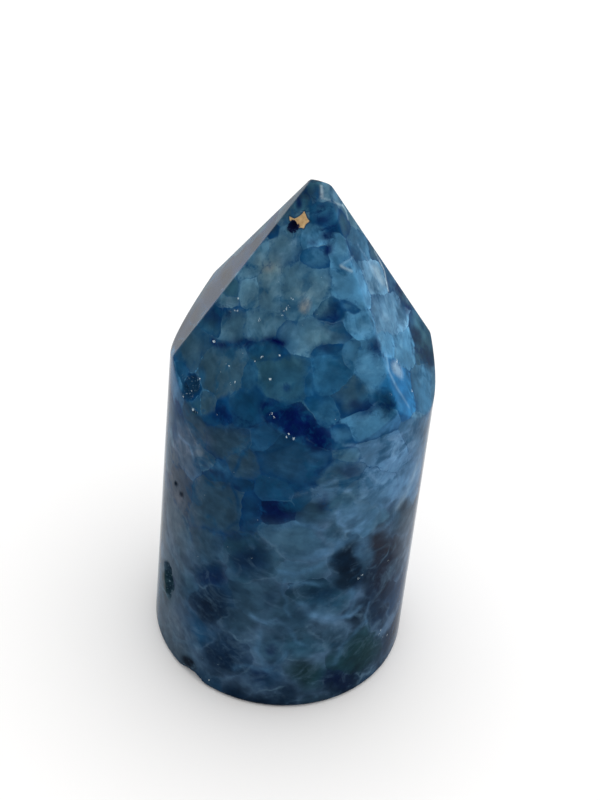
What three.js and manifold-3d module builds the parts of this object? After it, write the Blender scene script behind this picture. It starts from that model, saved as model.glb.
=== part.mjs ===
// A cut and polished agate point: one stone, a round body that tapers slightly upwards
// and ends in six flat facets. Millimetres, +Z up, origin at the middle of the base.
// A bearing is an angle about +Z: 0 is the front (-Y), and it grows towards +X.

import * as THREE from 'three';
import { mergeVertices } from 'three/addons/utils/BufferGeometryUtils.js';
import Module from 'manifold-3d';

// The body
const BASE_RADIUS = 19;
const TAPER = 0.008; // radius lost per millimetre of height
const BODY_SEGMENTS = 144;
const FOOT_CHAMFER_WIDTH = 0.45;
const FOOT_CHAMFER_HEIGHT = 0.6;

// The point: all six facet planes pass through one virtual apex, and chips blunt the tip.
const APEX = new THREE.Vector3(-0.47, 0.38, 85);
const FACETS = [
  { bearing: -100.1, slope: 61.4 },
  { bearing: -46.3, slope: 60.7 },
  { bearing: 16.5, slope: 58.9 },
  { bearing: 82.3, slope: 61.3 },
  { bearing: 135.8, slope: 61 },
  { bearing: 197.4, slope: 61.6 },
];
const TIP_CHIPS = [
  { bearing: 165, slope: 42, height: 83.05 },
  { bearing: 70, slope: 20, height: 83.4 },
  { bearing: -105, slope: 24, height: 83.45 },
];
const CUTTER_SIZE = 120;

// Pits and chips in a facet, each at a height on the facet and an offset along it from
// the line straight up its middle.
const FACET_PITS = [
  { facet: 1, offset: 0.22, height: 77.75, width: 1.3, length: 1.3, depth: 0.9, turn: 20 },
  { facet: 1, offset: 0.8, height: 78.85, width: 2.7, length: 2.2, depth: 0.3, turn: 40 },
  { facet: 1, offset: -2.6, height: 54.7, width: 2.6, length: 2.5, depth: 0.5, turn: 30 },
  { facet: 1, offset: -3.3, height: 53.6, width: 1.7, length: 1.3, depth: 0.4, turn: -20 },
];

// Pits and chips in the round side, each at a bearing and a height. Tilt turns the cut
// downwards, so that a chip in the foot's rim opens to the base as well.
const SIDE_PITS = [
  { bearing: -61.4, height: 15.4, width: 4.1, length: 5.6, depth: 1.3, turn: 12, tilt: 0 },
  { bearing: -60.6, height: 12.3, width: 2.2, length: 2.8, depth: 0.8, turn: -8, tilt: 0 },
  { bearing: -48.5, height: 52, width: 1.5, length: 0.9, depth: 0.35, turn: 40, tilt: 0 },
  { bearing: -59.5, height: 35.3, width: 0.8, length: 1.1, depth: 0.45, turn: 15, tilt: 0 },
  { bearing: -54.6, height: 34.7, width: 0.6, length: 0.6, depth: 0.35, turn: 0, tilt: 0 },
  { bearing: -40, height: 0.9, width: 5.6, length: 4.2, depth: 0.55, turn: -8, tilt: -30 },
  { bearing: 57, height: 0.3, width: 3.4, length: 2.2, depth: 0.35, turn: 10, tilt: -40 },
  { bearing: 158, height: 0.4, width: 4.2, length: 2.6, depth: 0.4, turn: 6, tilt: -35 },
];
const PIT_DETAIL = 3;
const PIT_LUMPS = 0.13;

const STONE = new THREE.MeshStandardMaterial({ color: 0x2c5378, roughness: 0.14, metalness: 0 });

const wasm = await Module();
wasm.setup();

// A closed three.js geometry as a solid that can be cut.
function solidFrom(geometry) {
  const bare = geometry.index ? geometry.toNonIndexed() : geometry.clone();
  bare.deleteAttribute('normal');
  bare.deleteAttribute('uv');
  const merged = mergeVertices(bare, 1e-5);
  return new wasm.Manifold(new wasm.Mesh({
    numProp: 3,
    vertProperties: new Float32Array(merged.attributes.position.array),
    triVerts: new Uint32Array(merged.index.array),
  }));
}

// The solid's surface as a three.js geometry.
function geometryFrom(solid) {
  const mesh = solid.getMesh();
  const geometry = new THREE.BufferGeometry();
  geometry.setAttribute('position', new THREE.BufferAttribute(mesh.vertProperties, 3));
  geometry.setIndex(new THREE.BufferAttribute(mesh.triVerts, 1));
  geometry.computeVertexNormals();
  return geometry;
}

// The direction that a plane faces when it slopes down towards a bearing.
function facing(bearing, slope) {
  const b = THREE.MathUtils.degToRad(bearing);
  const s = THREE.MathUtils.degToRad(slope);
  return new THREE.Vector3(Math.sin(b) * Math.sin(s), -Math.cos(b) * Math.sin(s), Math.cos(s));
}

// A large block whose lower face lies on the plane through a point, facing outwards.
function blockAbove(point, normal) {
  const block = new THREE.BoxGeometry(CUTTER_SIZE, CUTTER_SIZE, CUTTER_SIZE);
  block.translate(0, 0, CUTTER_SIZE / 2);
  block.applyQuaternion(new THREE.Quaternion().setFromUnitVectors(new THREE.Vector3(0, 0, 1), normal));
  block.translate(point.x, point.y, point.z);
  return solidFrom(block);
}

// A turned blank, taller than the finished point, with a fine chamfer round its foot.
function blank() {
  const top = APEX.z + 5;
  const profile = [
    new THREE.Vector2(0, 0),
    new THREE.Vector2(BASE_RADIUS - FOOT_CHAMFER_WIDTH, 0),
    new THREE.Vector2(BASE_RADIUS - TAPER * FOOT_CHAMFER_HEIGHT, FOOT_CHAMFER_HEIGHT),
    new THREE.Vector2(BASE_RADIUS - TAPER * top, top),
    new THREE.Vector2(0, top),
  ];
  const lathe = new THREE.LatheGeometry(profile, BODY_SEGMENTS);
  lathe.rotateX(Math.PI / 2);
  return solidFrom(lathe);
}

// A lumpy lens that scoops a pit of the given width, length and depth out of a surface.
// Its local z points out of the surface, and its local y runs up the surface.
function scoop({ width, length, depth, turn }, point, outwards) {
  const sunk = Math.sqrt(3) / 2; // share of the lens's width where the surface crosses it
  const lens = new THREE.IcosahedronGeometry(1, PIT_DETAIL);
  const place = lens.attributes.position;
  for (let i = 0; i < place.count; i += 1) {
    const v = new THREE.Vector3().fromBufferAttribute(place, i);
    const lump = 1 + PIT_LUMPS * Math.sin(2.7 * v.x + 1.9 * v.y + depth * 9) * Math.cos(3.3 * v.y - width);
    v.multiplyScalar(lump);
    place.setXYZ(i, v.x, v.y, v.z);
  }
  lens.scale(width / 2 / sunk, length / 2 / sunk, depth * 2);
  lens.translate(0, 0, depth);
  lens.rotateZ(THREE.MathUtils.degToRad(turn));
  const across = new THREE.Vector3(0, 0, 1).cross(outwards).normalize();
  const upwards = outwards.clone().cross(across);
  lens.applyMatrix4(new THREE.Matrix4().makeBasis(across, upwards, outwards).setPosition(point));
  return solidFrom(lens);
}

function facetScoop(pit) {
  const { bearing, slope } = FACETS[pit.facet];
  const outwards = facing(bearing, slope);
  const across = new THREE.Vector3(0, 0, 1).cross(outwards).normalize();
  const upwards = outwards.clone().cross(across);
  const run = (APEX.z - pit.height) / upwards.z;
  const point = APEX.clone().addScaledVector(upwards, -run).addScaledVector(across, pit.offset);
  return scoop(pit, point, outwards);
}

function sideScoop(pit) {
  const radius = BASE_RADIUS - TAPER * pit.height;
  const point = facing(pit.bearing, 90).multiplyScalar(radius);
  point.z = pit.height;
  return scoop(pit, point, facing(pit.bearing, 90 - pit.tilt));
}

function stone() {
  let solid = blank();
  for (const { bearing, slope } of FACETS) {
    solid = solid.subtract(blockAbove(APEX, facing(bearing, slope)));
  }
  for (const { bearing, slope, height } of TIP_CHIPS) {
    const point = new THREE.Vector3(APEX.x, APEX.y, height);
    solid = solid.subtract(blockAbove(point, facing(bearing, slope)));
  }
  for (const pit of FACET_PITS) {
    solid = solid.subtract(facetScoop(pit));
  }
  for (const pit of SIDE_PITS) {
    solid = solid.subtract(sideScoop(pit));
  }
  const mesh = new THREE.Mesh(geometryFrom(solid), STONE);
  mesh.name = 'agate_point';
  return mesh;
}

const agate = new THREE.Group();
agate.add(stone());

export default agate;
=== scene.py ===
import math
from collections import namedtuple

import bmesh
import bpy
import numpy as np
from mathutils import Matrix


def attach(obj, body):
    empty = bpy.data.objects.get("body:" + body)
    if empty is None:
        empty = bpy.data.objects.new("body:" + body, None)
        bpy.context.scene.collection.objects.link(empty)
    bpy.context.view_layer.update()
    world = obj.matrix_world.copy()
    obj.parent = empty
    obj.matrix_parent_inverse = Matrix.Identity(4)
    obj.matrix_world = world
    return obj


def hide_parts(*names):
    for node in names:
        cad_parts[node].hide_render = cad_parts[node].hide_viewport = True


# A cut and polished agate point, dyed blue in a net of healed cracks.
# Lengths are millimetres and angles degrees until the mesh is made. A bearing is an angle
# about +Z: 0 is the front (-Y), and it grows towards +X.
MM = 0.001
SEED = 7

# The stone, as the CAD model has it
BASE_RADIUS = 19.0
TAPER = 0.008
FOOT_CHAMFER_WIDTH = 0.45
FOOT_CHAMFER_HEIGHT = 0.6
APEX = np.array([-0.47, 0.38, 85.0])
Facet = namedtuple("Facet", "bearing slope")
FACETS = [
    Facet(bearing=-100.1, slope=61.4),
    Facet(bearing=-46.3, slope=60.7),
    Facet(bearing=16.5, slope=58.9),
    Facet(bearing=82.3, slope=61.3),
    Facet(bearing=135.8, slope=61.0),
    Facet(bearing=197.4, slope=61.6),
]
TipChip = namedtuple("TipChip", "bearing slope height")
TIP_CHIPS = [
    TipChip(bearing=165, slope=42, height=83.05),
    TipChip(bearing=70, slope=20, height=83.4),
    TipChip(bearing=-105, slope=24, height=83.45),
]
FacetPit = namedtuple("FacetPit", "facet offset height width length depth turn")
FACET_PITS = [
    FacetPit(facet=1, offset=0.22, height=77.75, width=1.3, length=1.3, depth=0.9, turn=20),
    FacetPit(facet=1, offset=0.8, height=78.85, width=2.7, length=2.2, depth=0.3, turn=40),
    FacetPit(facet=1, offset=-2.6, height=54.7, width=2.6, length=2.5, depth=0.5, turn=30),
    FacetPit(facet=1, offset=-3.3, height=53.6, width=1.7, length=1.3, depth=0.4, turn=-20),
]
SidePit = namedtuple("SidePit", "bearing height width length depth turn tilt")
SIDE_PITS = [
    SidePit(bearing=-61.4, height=15.4, width=4.1, length=5.6, depth=1.3, turn=12, tilt=0),
    SidePit(bearing=-60.6, height=12.3, width=2.2, length=2.8, depth=0.8, turn=-8, tilt=0),
    SidePit(bearing=-48.5, height=52, width=1.5, length=0.9, depth=0.35, turn=40, tilt=0),
    SidePit(bearing=-59.5, height=35.3, width=0.8, length=1.1, depth=0.45, turn=15, tilt=0),
    SidePit(bearing=-54.6, height=34.7, width=0.6, length=0.6, depth=0.35, turn=0, tilt=0),
    SidePit(bearing=-40, height=0.9, width=5.6, length=4.2, depth=0.55, turn=-8, tilt=-30),
    SidePit(bearing=57, height=0.3, width=3.4, length=2.2, depth=0.35, turn=10, tilt=-40),
    SidePit(bearing=158, height=0.4, width=4.2, length=2.6, depth=0.4, turn=6, tilt=-35),
]
PIT_LUMPS = 0.13
PIT_RAGGED, PIT_GRAIN = 0.12, 0.3  # how ragged a pit's rim and how rough its floor is
PIT_SUNK = math.sqrt(3) / 2  # share of a pit's lens that the surface crosses

# The mesh
GRID = 0.375  # distance between neighbouring points on the side and the facets
BASE_GRID = 0.7
EDGE_SOFTNESS = 0.09  # how far the polish has rounded the ridges
EDGE_ROWS = (0.12, 0.3)  # extra rows and columns beside each edge
TIP_SHARE = 8  # one column in 8, rank 0, runs on to the tip; ranks 1 to 3 drop out before
FOOT_EDGE_ROW = 0.14  # an extra ring under the foot, this far inside its edge
POLISH_ROUNDS = 3
PIT_CUTS = 2  # how often the mesh's edges are cut in a pit
SPECK_CUTS, SPECK_CLEAR = 3, 0.42  # and this far round a speck
SEAM_CUTS, SEAM_CLEAR, SEAM_STEP = 1, 0.55, 3  # and round every third place of a fine seam

# The photograph's camera, fitted to the stone's outline, ridges and foot
PHOTO_WIDTH, PHOTO_HEIGHT = 600, 800
FOCAL_PX = 1998.0
SENSOR = 36.0
CAMERA_RISE, CAMERA_ROLL = 42.4, 6.0
CAMERA_REACH = 282.0
CAMERA_AIM = np.array([0.0, 0.0, 45.1])

# Colours, linear, from cloudy and pale to clear and dark
TONES = {
    "white": (0.42, 0.58, 0.68),
    "ice": (0.15, 0.32, 0.50),
    "lilac": (0.095, 0.235, 0.385),
    "glow": (0.12, 0.21, 0.24),
    "cream": (0.20, 0.22, 0.22),
    "pale": (0.07, 0.18, 0.26),
    "mist": (0.06, 0.145, 0.215),
    "haze": (0.044, 0.12, 0.19),
    "light": (0.055, 0.19, 0.34),
    "bright": (0.014, 0.14, 0.34),
    "azure": (0.036, 0.135, 0.25),
    "blue": (0.013, 0.078, 0.165),
    "teal": (0.021, 0.078, 0.122),
    "deep": (0.006, 0.05, 0.12),
    # painted reflection: the pale grey sheen along the side's left and right edges
    "reflected_grey": (0.15, 0.19, 0.225),
    "slate": (0.028, 0.073, 0.114),
    "moss": (0.014, 0.056, 0.07),
    "swamp": (0.010, 0.032, 0.036),
    "navy": (0.001, 0.006, 0.055),
    "umber": (0.030, 0.030, 0.040),
    "ink": (0.003, 0.018, 0.048),
    "smoke": (0.004, 0.013, 0.028),
}
DYE = (0.002, 0.036, 0.115)  # gathers along the healed cracks of the point
DEEP_DYE = (0.006, 0.026, 0.06)  # and along those of the body
MILK = (0.12, 0.22, 0.335)  # cloudy quartz in the body's cracks
# Tones of the cells that the photograph doesn't show, from the clearest dark to the palest
HIDDEN_FACET_TONES = ("navy", "deep", "blue", "teal", "slate", "haze", "azure", "mist", "light", "lilac")
HIDDEN_LEFT_TONES = ("smoke", "ink", "deep", "ink", "slate", "deep", "teal", "slate")
HIDDEN_SIDE_TONES = ("ink", "deep", "teal", "slate", "blue", "haze", "slate", "haze", "mist", "pale")
HIDDEN_FOOT_TONES = ("ink", "smoke", "deep", "slate", "deep", "moss", "blue", "slate", "haze", "mist")

# The cells that the photograph shows: middle, half width and half height in its pixels,
# and turn clockwise.
Cell = namedtuple("Cell", "x y wide high tone turn", defaults=(0,))
TIP_CELLS = [
    Cell(x=314, y=190, wide=9, high=9, tone="teal"),
    Cell(x=332, y=194, wide=8, high=14, tone="mist", turn=-40),
    Cell(x=302, y=205, wide=9, high=9, tone="teal", turn=15),
    Cell(x=328, y=214, wide=16, high=14, tone="blue"),
    Cell(x=345, y=224, wide=6, high=12, tone="teal", turn=-20),
    Cell(x=311, y=238, wide=15, high=13, tone="azure"),
    Cell(x=289, y=233, wide=9, high=9, tone="haze"),
    Cell(x=282, y=248, wide=18, high=17, tone="mist"),
    Cell(x=258, y=253, wide=11, high=17, tone="haze", turn=30),
    Cell(x=246, y=274, wide=14, high=6, tone="haze", turn=-15),
    Cell(x=316, y=258, wide=14, high=12, tone="azure"),
    Cell(x=339, y=256, wide=9, high=19, tone="light"),
    Cell(x=348, y=265, wide=6, high=4, tone="light", turn=20),
    Cell(x=353, y=288, wide=25, high=20, tone="light", turn=10),
    Cell(x=376, y=275, wide=10, high=19, tone="lilac", turn=-25),
    Cell(x=360, y=243, wide=8, high=19, tone="azure", turn=-30),
    Cell(x=374, y=250, wide=6, high=13, tone="slate", turn=-30),
]
LEFT_FACET_CELLS = [
    Cell(x=283, y=213, wide=5, high=8, tone="slate", turn=30),
    Cell(x=271, y=226, wide=6, high=9, tone="ink", turn=35),
    Cell(x=257, y=242, wide=7, high=11, tone="smoke", turn=35),
    Cell(x=242, y=258, wide=8, high=10, tone="ink", turn=35),
    Cell(x=227, y=274, wide=9, high=11, tone="smoke", turn=30),
    Cell(x=212, y=293, wide=8, high=12, tone="ink", turn=30),
    Cell(x=198, y=312, wide=7, high=11, tone="smoke", turn=25),
    Cell(x=185, y=331, wide=6, high=11, tone="ink", turn=20),
    Cell(x=178, y=345, wide=4, high=9, tone="smoke", turn=20),
]
UPPER_FACET_CELLS = [
    Cell(x=303, y=293, wide=27, high=29, tone="haze"),
    Cell(x=272, y=294, wide=14, high=20, tone="mist"),
    Cell(x=250, y=292, wide=11, high=14, tone="mist"),
    Cell(x=232, y=287, wide=9, high=11, tone="teal", turn=20),
    Cell(x=228, y=303, wide=12, high=6, tone="mist"),
    Cell(x=209, y=323, wide=13, high=13, tone="teal", turn=25),
    Cell(x=233, y=327, wide=13, high=17, tone="haze"),
    Cell(x=263, y=325, wide=20, high=16, tone="haze"),
    Cell(x=328, y=313, wide=18, high=12, tone="teal", turn=-15),
    Cell(x=312, y=336, wide=33, high=16, tone="haze"),
    Cell(x=360, y=325, wide=17, high=12, tone="light"),
    Cell(x=349, y=309, wide=11, high=6, tone="azure", turn=25),
    Cell(x=392, y=315, wide=15, high=21, tone="lilac", turn=-10),
    Cell(x=386, y=346, wide=9, high=12, tone="light", turn=-20),
    Cell(x=405, y=345, wide=12, high=18, tone="light", turn=-15),
    Cell(x=424, y=385, wide=10, high=25, tone="azure"),
    Cell(x=405, y=296, wide=7, high=14, tone="slate", turn=-25),
]
LOWER_FACET_CELLS = [
    Cell(x=191, y=346, wide=17, high=22, tone="slate", turn=30),
    Cell(x=224, y=372, wide=24, high=22, tone="slate"),
    Cell(x=266, y=351, wide=22, high=9, tone="teal"),
    Cell(x=283, y=379, wide=27, high=25, tone="teal"),
    Cell(x=249, y=379, wide=8, high=15, tone="blue"),
    Cell(x=309, y=386, wide=6, high=14, tone="blue", turn=-10),
    Cell(x=326, y=351, wide=17, high=6, tone="blue"),
    Cell(x=331, y=374, wide=20, high=21, tone="blue"),
    Cell(x=351, y=354, wide=9, high=14, tone="azure"),
    Cell(x=373, y=366, wide=17, high=26, tone="azure"),
    Cell(x=400, y=386, wide=10, high=27, tone="bright", turn=-22),
    Cell(x=366, y=425, wide=28, high=17, tone="light"),
    Cell(x=343, y=436, wide=11, high=14, tone="azure", turn=10),
    Cell(x=323, y=410, wide=20, high=14, tone="blue", turn=5),
    Cell(x=249, y=406, wide=17, high=20, tone="deep"),
    Cell(x=224, y=413, wide=6, high=12, tone="navy"),
    Cell(x=206, y=404, wide=10, high=11, tone="slate"),
    Cell(x=196, y=406, wide=6, high=9, tone="teal"),
    Cell(x=212, y=420, wide=8, high=6, tone="deep"),
    Cell(x=181, y=370, wide=6, high=12, tone="deep"),
    Cell(x=190, y=388, wide=9, high=14, tone="ink", turn=-15),
    Cell(x=272, y=411, wide=15, high=11, tone="navy"),
    Cell(x=297, y=420, wide=18, high=15, tone="navy", turn=20),
    Cell(x=322, y=440, wide=14, high=9, tone="navy", turn=15),
]
UPPER_SIDE_CELLS = [
    Cell(x=228, y=441, wide=20, high=13, tone="slate"),
    Cell(x=263, y=439, wide=14, high=12, tone="blue"),
    Cell(x=243, y=465, wide=14, high=15, tone="slate"),
    Cell(x=293, y=463, wide=34, high=20, tone="blue", turn=5),
    Cell(x=217, y=472, wide=11, high=9, tone="blue", turn=30),
    Cell(x=241, y=485, wide=12, high=7, tone="deep", turn=10),
    Cell(x=272, y=489, wide=17, high=11, tone="blue", turn=5),
    Cell(x=213, y=507, wide=28, high=23, tone="slate"),
    Cell(x=250, y=512, wide=10, high=20, tone="deep"),
    Cell(x=276, y=511, wide=14, high=10, tone="navy"),
    Cell(x=314, y=508, wide=15, high=16, tone="slate"),
    Cell(x=341, y=474, wide=22, high=13, tone="haze", turn=-10),
    Cell(x=348, y=457, wide=14, high=7, tone="pale"),
    Cell(x=377, y=487, wide=22, high=17, tone="lilac"),
    Cell(x=388, y=455, wide=24, high=16, tone="lilac"),
    Cell(x=359, y=518, wide=22, high=14, tone="pale"),
    Cell(x=418, y=440, wide=10, high=20, tone="haze"),
    Cell(x=412, y=480, wide=12, high=18, tone="lilac"),
    Cell(x=405, y=515, wide=10, high=16, tone="slate"),
]
LOWER_SIDE_CELLS = [
    Cell(x=298, y=543, wide=30, high=14, tone="haze", turn=10),
    Cell(x=249, y=559, wide=27, high=19, tone="teal", turn=5),
    Cell(x=210, y=575, wide=16, high=13, tone="deep"),
    Cell(x=205, y=546, wide=16, high=16, tone="slate"),
    Cell(x=303, y=572, wide=22, high=10, tone="haze"),
    Cell(x=346, y=565, wide=15, high=23, tone="smoke", turn=-15),
    Cell(x=381, y=550, wide=9, high=21, tone="umber", turn=-10),
    Cell(x=380, y=588, wide=15, high=16, tone="ink", turn=-20),
    Cell(x=322, y=600, wide=27, high=15, tone="teal", turn=12),
    Cell(x=258, y=600, wide=24, high=17, tone="slate"),
    Cell(x=211, y=606, wide=19, high=21, tone="ink"),
    Cell(x=331, y=633, wide=20, high=14, tone="slate"),
    Cell(x=302, y=645, wide=18, high=14, tone="teal"),
    Cell(x=269, y=644, wide=16, high=20, tone="slate"),
    Cell(x=223, y=655, wide=25, high=20, tone="ink"),
    Cell(x=303, y=678, wide=19, high=20, tone="moss"),
    Cell(x=361, y=654, wide=24, high=21, tone="moss", turn=-35),
    Cell(x=341, y=684, wide=19, high=13, tone="ink", turn=-15),
    Cell(x=236, y=687, wide=16, high=10, tone="ink", turn=15),
    Cell(x=266, y=680, wide=18, high=14, tone="deep", turn=10),
    Cell(x=381, y=616, wide=11, high=13, tone="ink"),
]
SEEN_CELLS = (TIP_CELLS + LEFT_FACET_CELLS + UPPER_FACET_CELLS + LOWER_FACET_CELLS
              + UPPER_SIDE_CELLS + LOWER_SIDE_CELLS)

# Soft clouds and stains inside the stone that cross its cells, and painted reflections along
# the side's edges, placed in the same way, and at half strength unless it is given
Stain = namedtuple("Stain", "x y wide high tone strength turn", defaults=(0.5, 0))
FACET_STAINS = [
    Stain(x=299, y=203, wide=4, high=8, tone="navy", strength=0.9, turn=12),
    Stain(x=316, y=190, wide=3, high=9, tone="deep", strength=0.6, turn=-5),
    Stain(x=313, y=190, wide=9, high=7, tone="navy", strength=0.35),
    Stain(x=331, y=214, wide=5, high=4, tone="navy", strength=0.45, turn=10),
    Stain(x=319, y=204, wide=8, high=4, tone="navy", strength=0.55),
    Stain(x=324, y=220, wide=8, high=5, tone="navy", strength=0.75, turn=-15),
    Stain(x=334, y=228, wide=5, high=7, tone="navy", strength=0.85, turn=15),
    Stain(x=327, y=237, wide=7, high=5, tone="navy", strength=0.85, turn=-20),
    Stain(x=329, y=249, wide=5, high=7, tone="navy", strength=0.9, turn=15),
    Stain(x=313, y=244, wide=6, high=4, tone="navy", strength=0.6, turn=20),
    Stain(x=316, y=232, wide=5, high=3, tone="deep", strength=0.6, turn=-30),
    Stain(x=336, y=195, wide=5, high=8, tone="lilac", strength=0.4, turn=-30),
    Stain(x=315, y=258, wide=11, high=9, tone="azure", strength=0.65),
    Stain(x=289, y=229, wide=4, high=3, tone="smoke", strength=0.7),
    Stain(x=376, y=398, wide=16, high=10, tone="blue", strength=0.6),
    Stain(x=222, y=263, wide=12, high=9, tone="mist", strength=0.4, turn=-30),
    Stain(x=270, y=264, wide=16, high=12, tone="glow", strength=0.6),
    Stain(x=269, y=266, wide=7, high=5, tone="cream", strength=0.45, turn=-30),
    Stain(x=302, y=293, wide=9, high=7, tone="glow"),
    Stain(x=300, y=284, wide=22, high=17, tone="mist"),
    Stain(x=262, y=322, wide=30, high=14, tone="haze", strength=0.35),
    Stain(x=304, y=306, wide=6, high=7, tone="cream", strength=0.8),
    Stain(x=378, y=273, wide=4, high=14, tone="white", strength=0.35, turn=-30),
    Stain(x=398, y=290, wide=4, high=7, tone="navy", strength=0.7, turn=-25),
    Stain(x=405, y=309, wide=5, high=10, tone="navy", strength=0.7, turn=-25),
    Stain(x=416, y=334, wide=5, high=9, tone="ink", strength=0.8, turn=-30),
    Stain(x=426, y=356, wide=6, high=14, tone="ink", strength=0.8, turn=-20),
    Stain(x=404, y=398, wide=5, high=7, tone="deep", strength=0.25, turn=-20),
    Stain(x=409, y=402, wide=6, high=9, tone="bright", strength=0.6, turn=-20),
    Stain(x=392, y=302, wide=9, high=12, tone="azure", strength=0.4, turn=-20),
    Stain(x=429, y=386, wide=7, high=20, tone="blue", strength=0.45, turn=-10),
    Stain(x=397, y=370, wide=4, high=8, tone="white", strength=0.4, turn=-20),
    Stain(x=370, y=372, wide=15, high=14, tone="light", strength=0.75),
    Stain(x=318, y=338, wide=14, high=9, tone="pale", strength=0.4),
    Stain(x=339, y=318, wide=6, high=5, tone="navy", strength=0.6),
    Stain(x=253, y=347, wide=10, high=5, tone="deep", strength=0.7),
    Stain(x=201, y=376, wide=4, high=10, tone="deep", strength=0.8),
    Stain(x=287, y=388, wide=4, high=4, tone="navy", strength=0.9),
    Stain(x=325, y=348, wide=9, high=5, tone="navy", strength=0.6),
    Stain(x=374, y=348, wide=7, high=11, tone="navy", strength=0.75),
    Stain(x=359, y=386, wide=4, high=6, tone="deep", strength=0.6),
    Stain(x=355, y=403, wide=8, high=5, tone="navy", strength=0.6, turn=-20),
    Stain(x=386, y=402, wide=9, high=13, tone="ink", strength=0.9, turn=-10),
    Stain(x=367, y=407, wide=20, high=5, tone="navy", strength=0.65, turn=-28),
    Stain(x=214, y=318, wide=18, high=8, tone="navy", turn=15),
    Stain(x=330, y=312, wide=14, high=9, tone="navy", turn=-20),
    Stain(x=269, y=411, wide=13, high=12, tone="navy", strength=0.85),
    Stain(x=283, y=417, wide=20, high=13, tone="navy", strength=1.0, turn=20),
    Stain(x=301, y=424, wide=20, high=13, tone="navy", strength=1.0, turn=30),
    Stain(x=319, y=439, wide=16, high=10, tone="navy", strength=1.0, turn=15),
    Stain(x=224, y=416, wide=14, high=9, tone="navy", strength=0.6, turn=20),
    Stain(x=283, y=385, wide=22, high=18, tone="deep", strength=0.4),
    Stain(x=330, y=374, wide=18, high=18, tone="deep", strength=0.2),
    Stain(x=366, y=432, wide=20, high=8, tone="azure", strength=0.6),
]
SIDE_STAINS = [
    Stain(x=386, y=478, wide=34, high=26, tone="ice", strength=0.45, turn=-30),
    Stain(x=362, y=512, wide=24, high=17, tone="lilac", strength=0.45, turn=-20),
    Stain(x=400, y=462, wide=14, high=14, tone="ice"),
    Stain(x=412, y=462, wide=16, high=36, tone="ice", strength=0.55, turn=8),
    Stain(x=325, y=496, wide=30, high=4, tone="ice", turn=-14),
    Stain(x=330, y=550, wide=24, high=4, tone="ice", turn=-24),
    Stain(x=288, y=540, wide=22, high=13, tone="mist", turn=8),
    Stain(x=364, y=553, wide=9, high=15, tone="lilac", strength=0.6, turn=8),
    Stain(x=306, y=570, wide=28, high=9, tone="mist", turn=4),
    Stain(x=321, y=615, wide=30, high=4, tone="ice", strength=0.45, turn=12),
    Stain(x=270, y=650, wide=14, high=14, tone="haze"),
    Stain(x=290, y=628, wide=26, high=7, tone="mist", strength=0.4, turn=10),
    Stain(x=300, y=656, wide=20, high=4, tone="mist", strength=0.4, turn=-15),
    # painted reflections: grey sheen down the side's left edge
    Stain(x=172, y=630, wide=16, high=50, tone="reflected_grey", strength=0.6, turn=-6),
    Stain(x=172, y=520, wide=18, high=66, tone="reflected_grey", strength=0.6, turn=3),
    Stain(x=186, y=449, wide=20, high=24, tone="reflected_grey"),
    Stain(x=277, y=509, wide=21, high=12, tone="navy", strength=0.55),
    Stain(x=290, y=506, wide=6, high=9, tone="ink", strength=0.6),
    Stain(x=290, y=462, wide=30, high=17, tone="slate", strength=0.3),
    Stain(x=360, y=652, wide=18, high=14, tone="swamp", turn=-35),
    Stain(x=236, y=535, wide=16, high=5, tone="navy", strength=0.4),
    Stain(x=252, y=562, wide=22, high=17, tone="navy", strength=0.6),
    Stain(x=252, y=557, wide=7, high=9, tone="ink", strength=0.6),
    Stain(x=290, y=542, wide=24, high=12, tone="mist", turn=8),
    Stain(x=347, y=456, wide=13, high=6, tone="pale"),
    Stain(x=350, y=471, wide=12, high=8, tone="navy"),
    Stain(x=325, y=501, wide=8, high=10, tone="navy"),
    Stain(x=355, y=519, wide=16, high=13, tone="ice", strength=0.45),
    Stain(x=367, y=495, wide=26, high=13, tone="mist", strength=0.4),
    Stain(x=345, y=565, wide=11, high=24, tone="smoke", turn=-10),
    Stain(x=381, y=552, wide=8, high=22, tone="smoke", strength=0.3),
    Stain(x=364, y=562, wide=5, high=16, tone="mist", turn=10),
    Stain(x=404, y=508, wide=5, high=9, tone="smoke", strength=0.6, turn=-20),
    Stain(x=211, y=577, wide=15, high=9, tone="navy", strength=0.6),
    Stain(x=212, y=608, wide=18, high=20, tone="smoke", strength=0.4),
    Stain(x=262, y=600, wide=16, high=12, tone="haze", strength=0.4),
    Stain(x=270, y=598, wide=6, high=8, tone="ink", strength=0.6),
    Stain(x=320, y=594, wide=20, high=7, tone="ink", strength=0.6),
    Stain(x=322, y=604, wide=18, high=9, tone="deep", strength=0.3),
    Stain(x=325, y=612, wide=20, high=5, tone="mist", turn=10),
    Stain(x=222, y=655, wide=20, high=16, tone="ink", strength=0.4),
    Stain(x=260, y=677, wide=9, high=8, tone="navy"),
    Stain(x=271, y=650, wide=6, high=5, tone="navy", strength=0.6),
    Stain(x=303, y=670, wide=14, high=14, tone="swamp", strength=0.8),
    Stain(x=338, y=647, wide=8, high=8, tone="ink"),
    Stain(x=339, y=681, wide=18, high=10, tone="navy"),
    Stain(x=288, y=692, wide=20, high=10, tone="ink", strength=0.7, turn=4),
    Stain(x=388, y=565, wide=18, high=40, tone="umber", strength=0.4),
    Stain(x=166, y=582, wide=5, high=20, tone="swamp", strength=0.9, turn=-4),
    Stain(x=176, y=484, wide=2, high=3, tone="smoke", strength=1.0),
    Stain(x=181, y=493.5, wide=2.5, high=4, tone="smoke", strength=1.0, turn=-20),
    Stain(x=190, y=664, wide=10, high=6, tone="smoke", strength=1.0, turn=42),
    Stain(x=171, y=581, wide=4, high=7, tone="navy", strength=1.0, turn=-10),
    # painted reflection: grey sheen down the side's right edge
    Stain(x=407, y=535, wide=6, high=45, tone="reflected_grey", strength=0.45, turn=4),
]
STAINS = FACET_STAINS + SIDE_STAINS

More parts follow.
